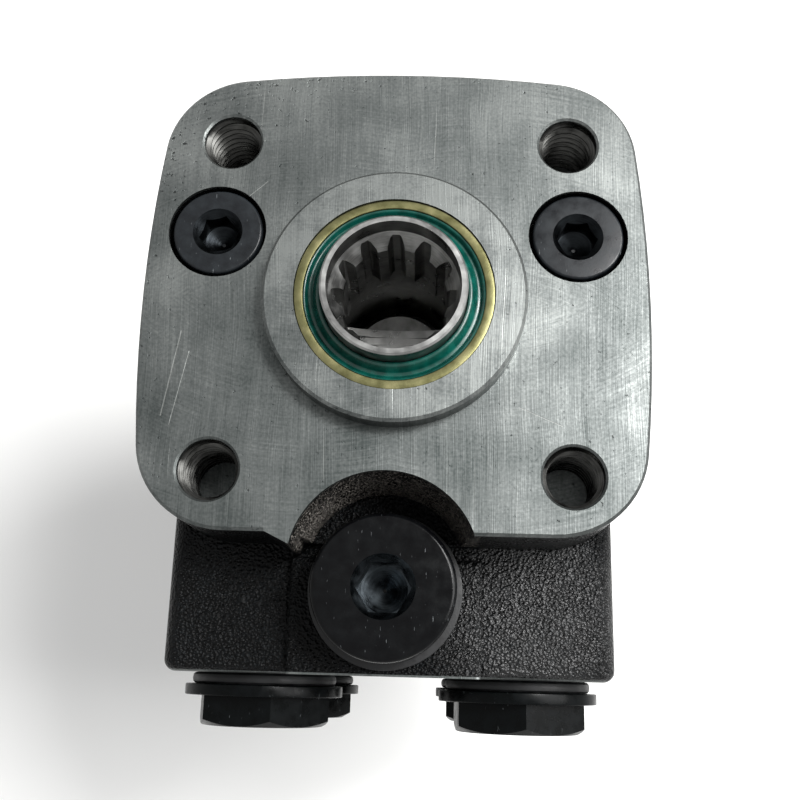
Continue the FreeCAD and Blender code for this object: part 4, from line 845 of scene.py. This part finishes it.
# camera where the photograph was taken from, in mm over the flange; its lens and sensor in mm too
cameraValues = {
    "place": (6.137, -60.313, 155.689),
    "right": (0.99935, 0.02737, -0.02334),
    "up": (-0.02013, 0.96329, 0.26771),
    "back": (0.02981, -0.26707, 0.96322),
    "lens": 45.0,
    "sensor": 36,
    "nearest": 5,
}
lens = bpy.data.cameras.new("camera")
lens.lens = cameraValues["lens"]
lens.sensor_width = cameraValues["sensor"]
lens.clip_start = cameraValues["nearest"] * mm
camera = bpy.data.objects.new("camera", lens)
scene.collection.objects.link(camera)
axes = Matrix([cameraValues["right"], cameraValues["up"], cameraValues["back"]]).transposed()
camera.matrix_world = Matrix.Translation(Vector(cameraValues["place"]) * mm) @ axes.to_4x4()
scene.camera = camera

# white paper under the end cover; far from the object it is lit evenly, so that no horizon shows.
# Its reach is in metres, the distances from and to which it gets even are in mm
paperValues = {
    "colour": "#f4f4f2",
    "rough": 0.9,
    "reach": 20.0,
    "evening": (120.0, 420.0, 0.3, 1.0),
    "glow": "#ffffff",
}
reach, level = paperValues["reach"], cadBox[0].z
floorMesh = bpy.data.meshes.new("floor")
floorMesh.from_pydata([(-reach, -reach, level), (reach, -reach, level), (reach, reach, level),
                       (-reach, reach, level)], [], [(0, 1, 2, 3)])
floor = bpy.data.objects.new("floor", floorMesh)
scene.collection.objects.link(floor)


# 1 for rays from the camera, by reflection or through something, 0 for the rest, which light the scene
def seenRays(tree):
    rays = addNode(tree, "LightPath").node.outputs
    return anyOf(tree, *[rays[name] for name in ("Is Camera Ray", "Is Glossy Ray", "Is Transmission Ray")])


paper, tree, place = newMaterial("whitePaper", Roughness=paperValues["rough"],
                                 Base_Color=colour(paperValues["colour"]))
away = addNode(tree, "VectorMath", [place, (1, 1, 0)], operation="MULTIPLY")
away = addNode(tree, "VectorMath", [away], operation="LENGTH")
even = addNode(tree, "MapRange", [away, *paperValues["evening"]], interpolation_type="SMOOTHSTEP")
share = addNode(tree, "Math", [even, seenRays(tree)], operation="MULTIPLY")
glow = addNode(tree, "Emission", {"Color": paperValues["glow"], "Strength": 1.0})
lit = addNode(tree, "MixShader", [share, tree.nodes["Principled BSDF"].outputs[0], glow])
tree.links.new(lit, tree.nodes["Material Output"].inputs["Surface"])
floorMesh.materials.append(paper)

# soft light: a wide window low on the right and a smaller lamp above it, by place and size in metres and
# power in watts, in a pale room
lights = {
    "window": ((0.66, 0.11, 0.55), 0.60, 12.8),
    "overhead": ((0.40, 0.22, 0.75), 0.25, 9.0),
}
for name, (spot, size, power) in lights.items():
    lamp = bpy.data.lights.new(name, "AREA")
    lamp.energy = power
    lamp.size = size
    holder = bpy.data.objects.new(name, lamp)
    holder.location = spot
    holder.rotation_euler = (-Vector(spot)).to_track_quat("-Z", "Y").to_euler()
    scene.collection.objects.link(holder)

# how strongly the room lights the scene, and how bright it is seen
roomValues = {"lights": 0.4, "seen": 1.0, "colour": "#ffffff"}
world = bpy.data.worlds.new("room")
world.use_nodes = True
scene.world = world
tree = world.node_tree
strength = addNode(tree, "MapRange", [seenRays(tree), 0.0, 1.0, roomValues["lights"], roomValues["seen"]])
tree.links.new(strength, tree.nodes["Background"].inputs["Strength"])
tree.nodes["Background"].inputs["Color"].default_value = colour(roomValues["colour"])
scene.view_settings.view_transform = "Standard"
print("camera, floor and light stand")
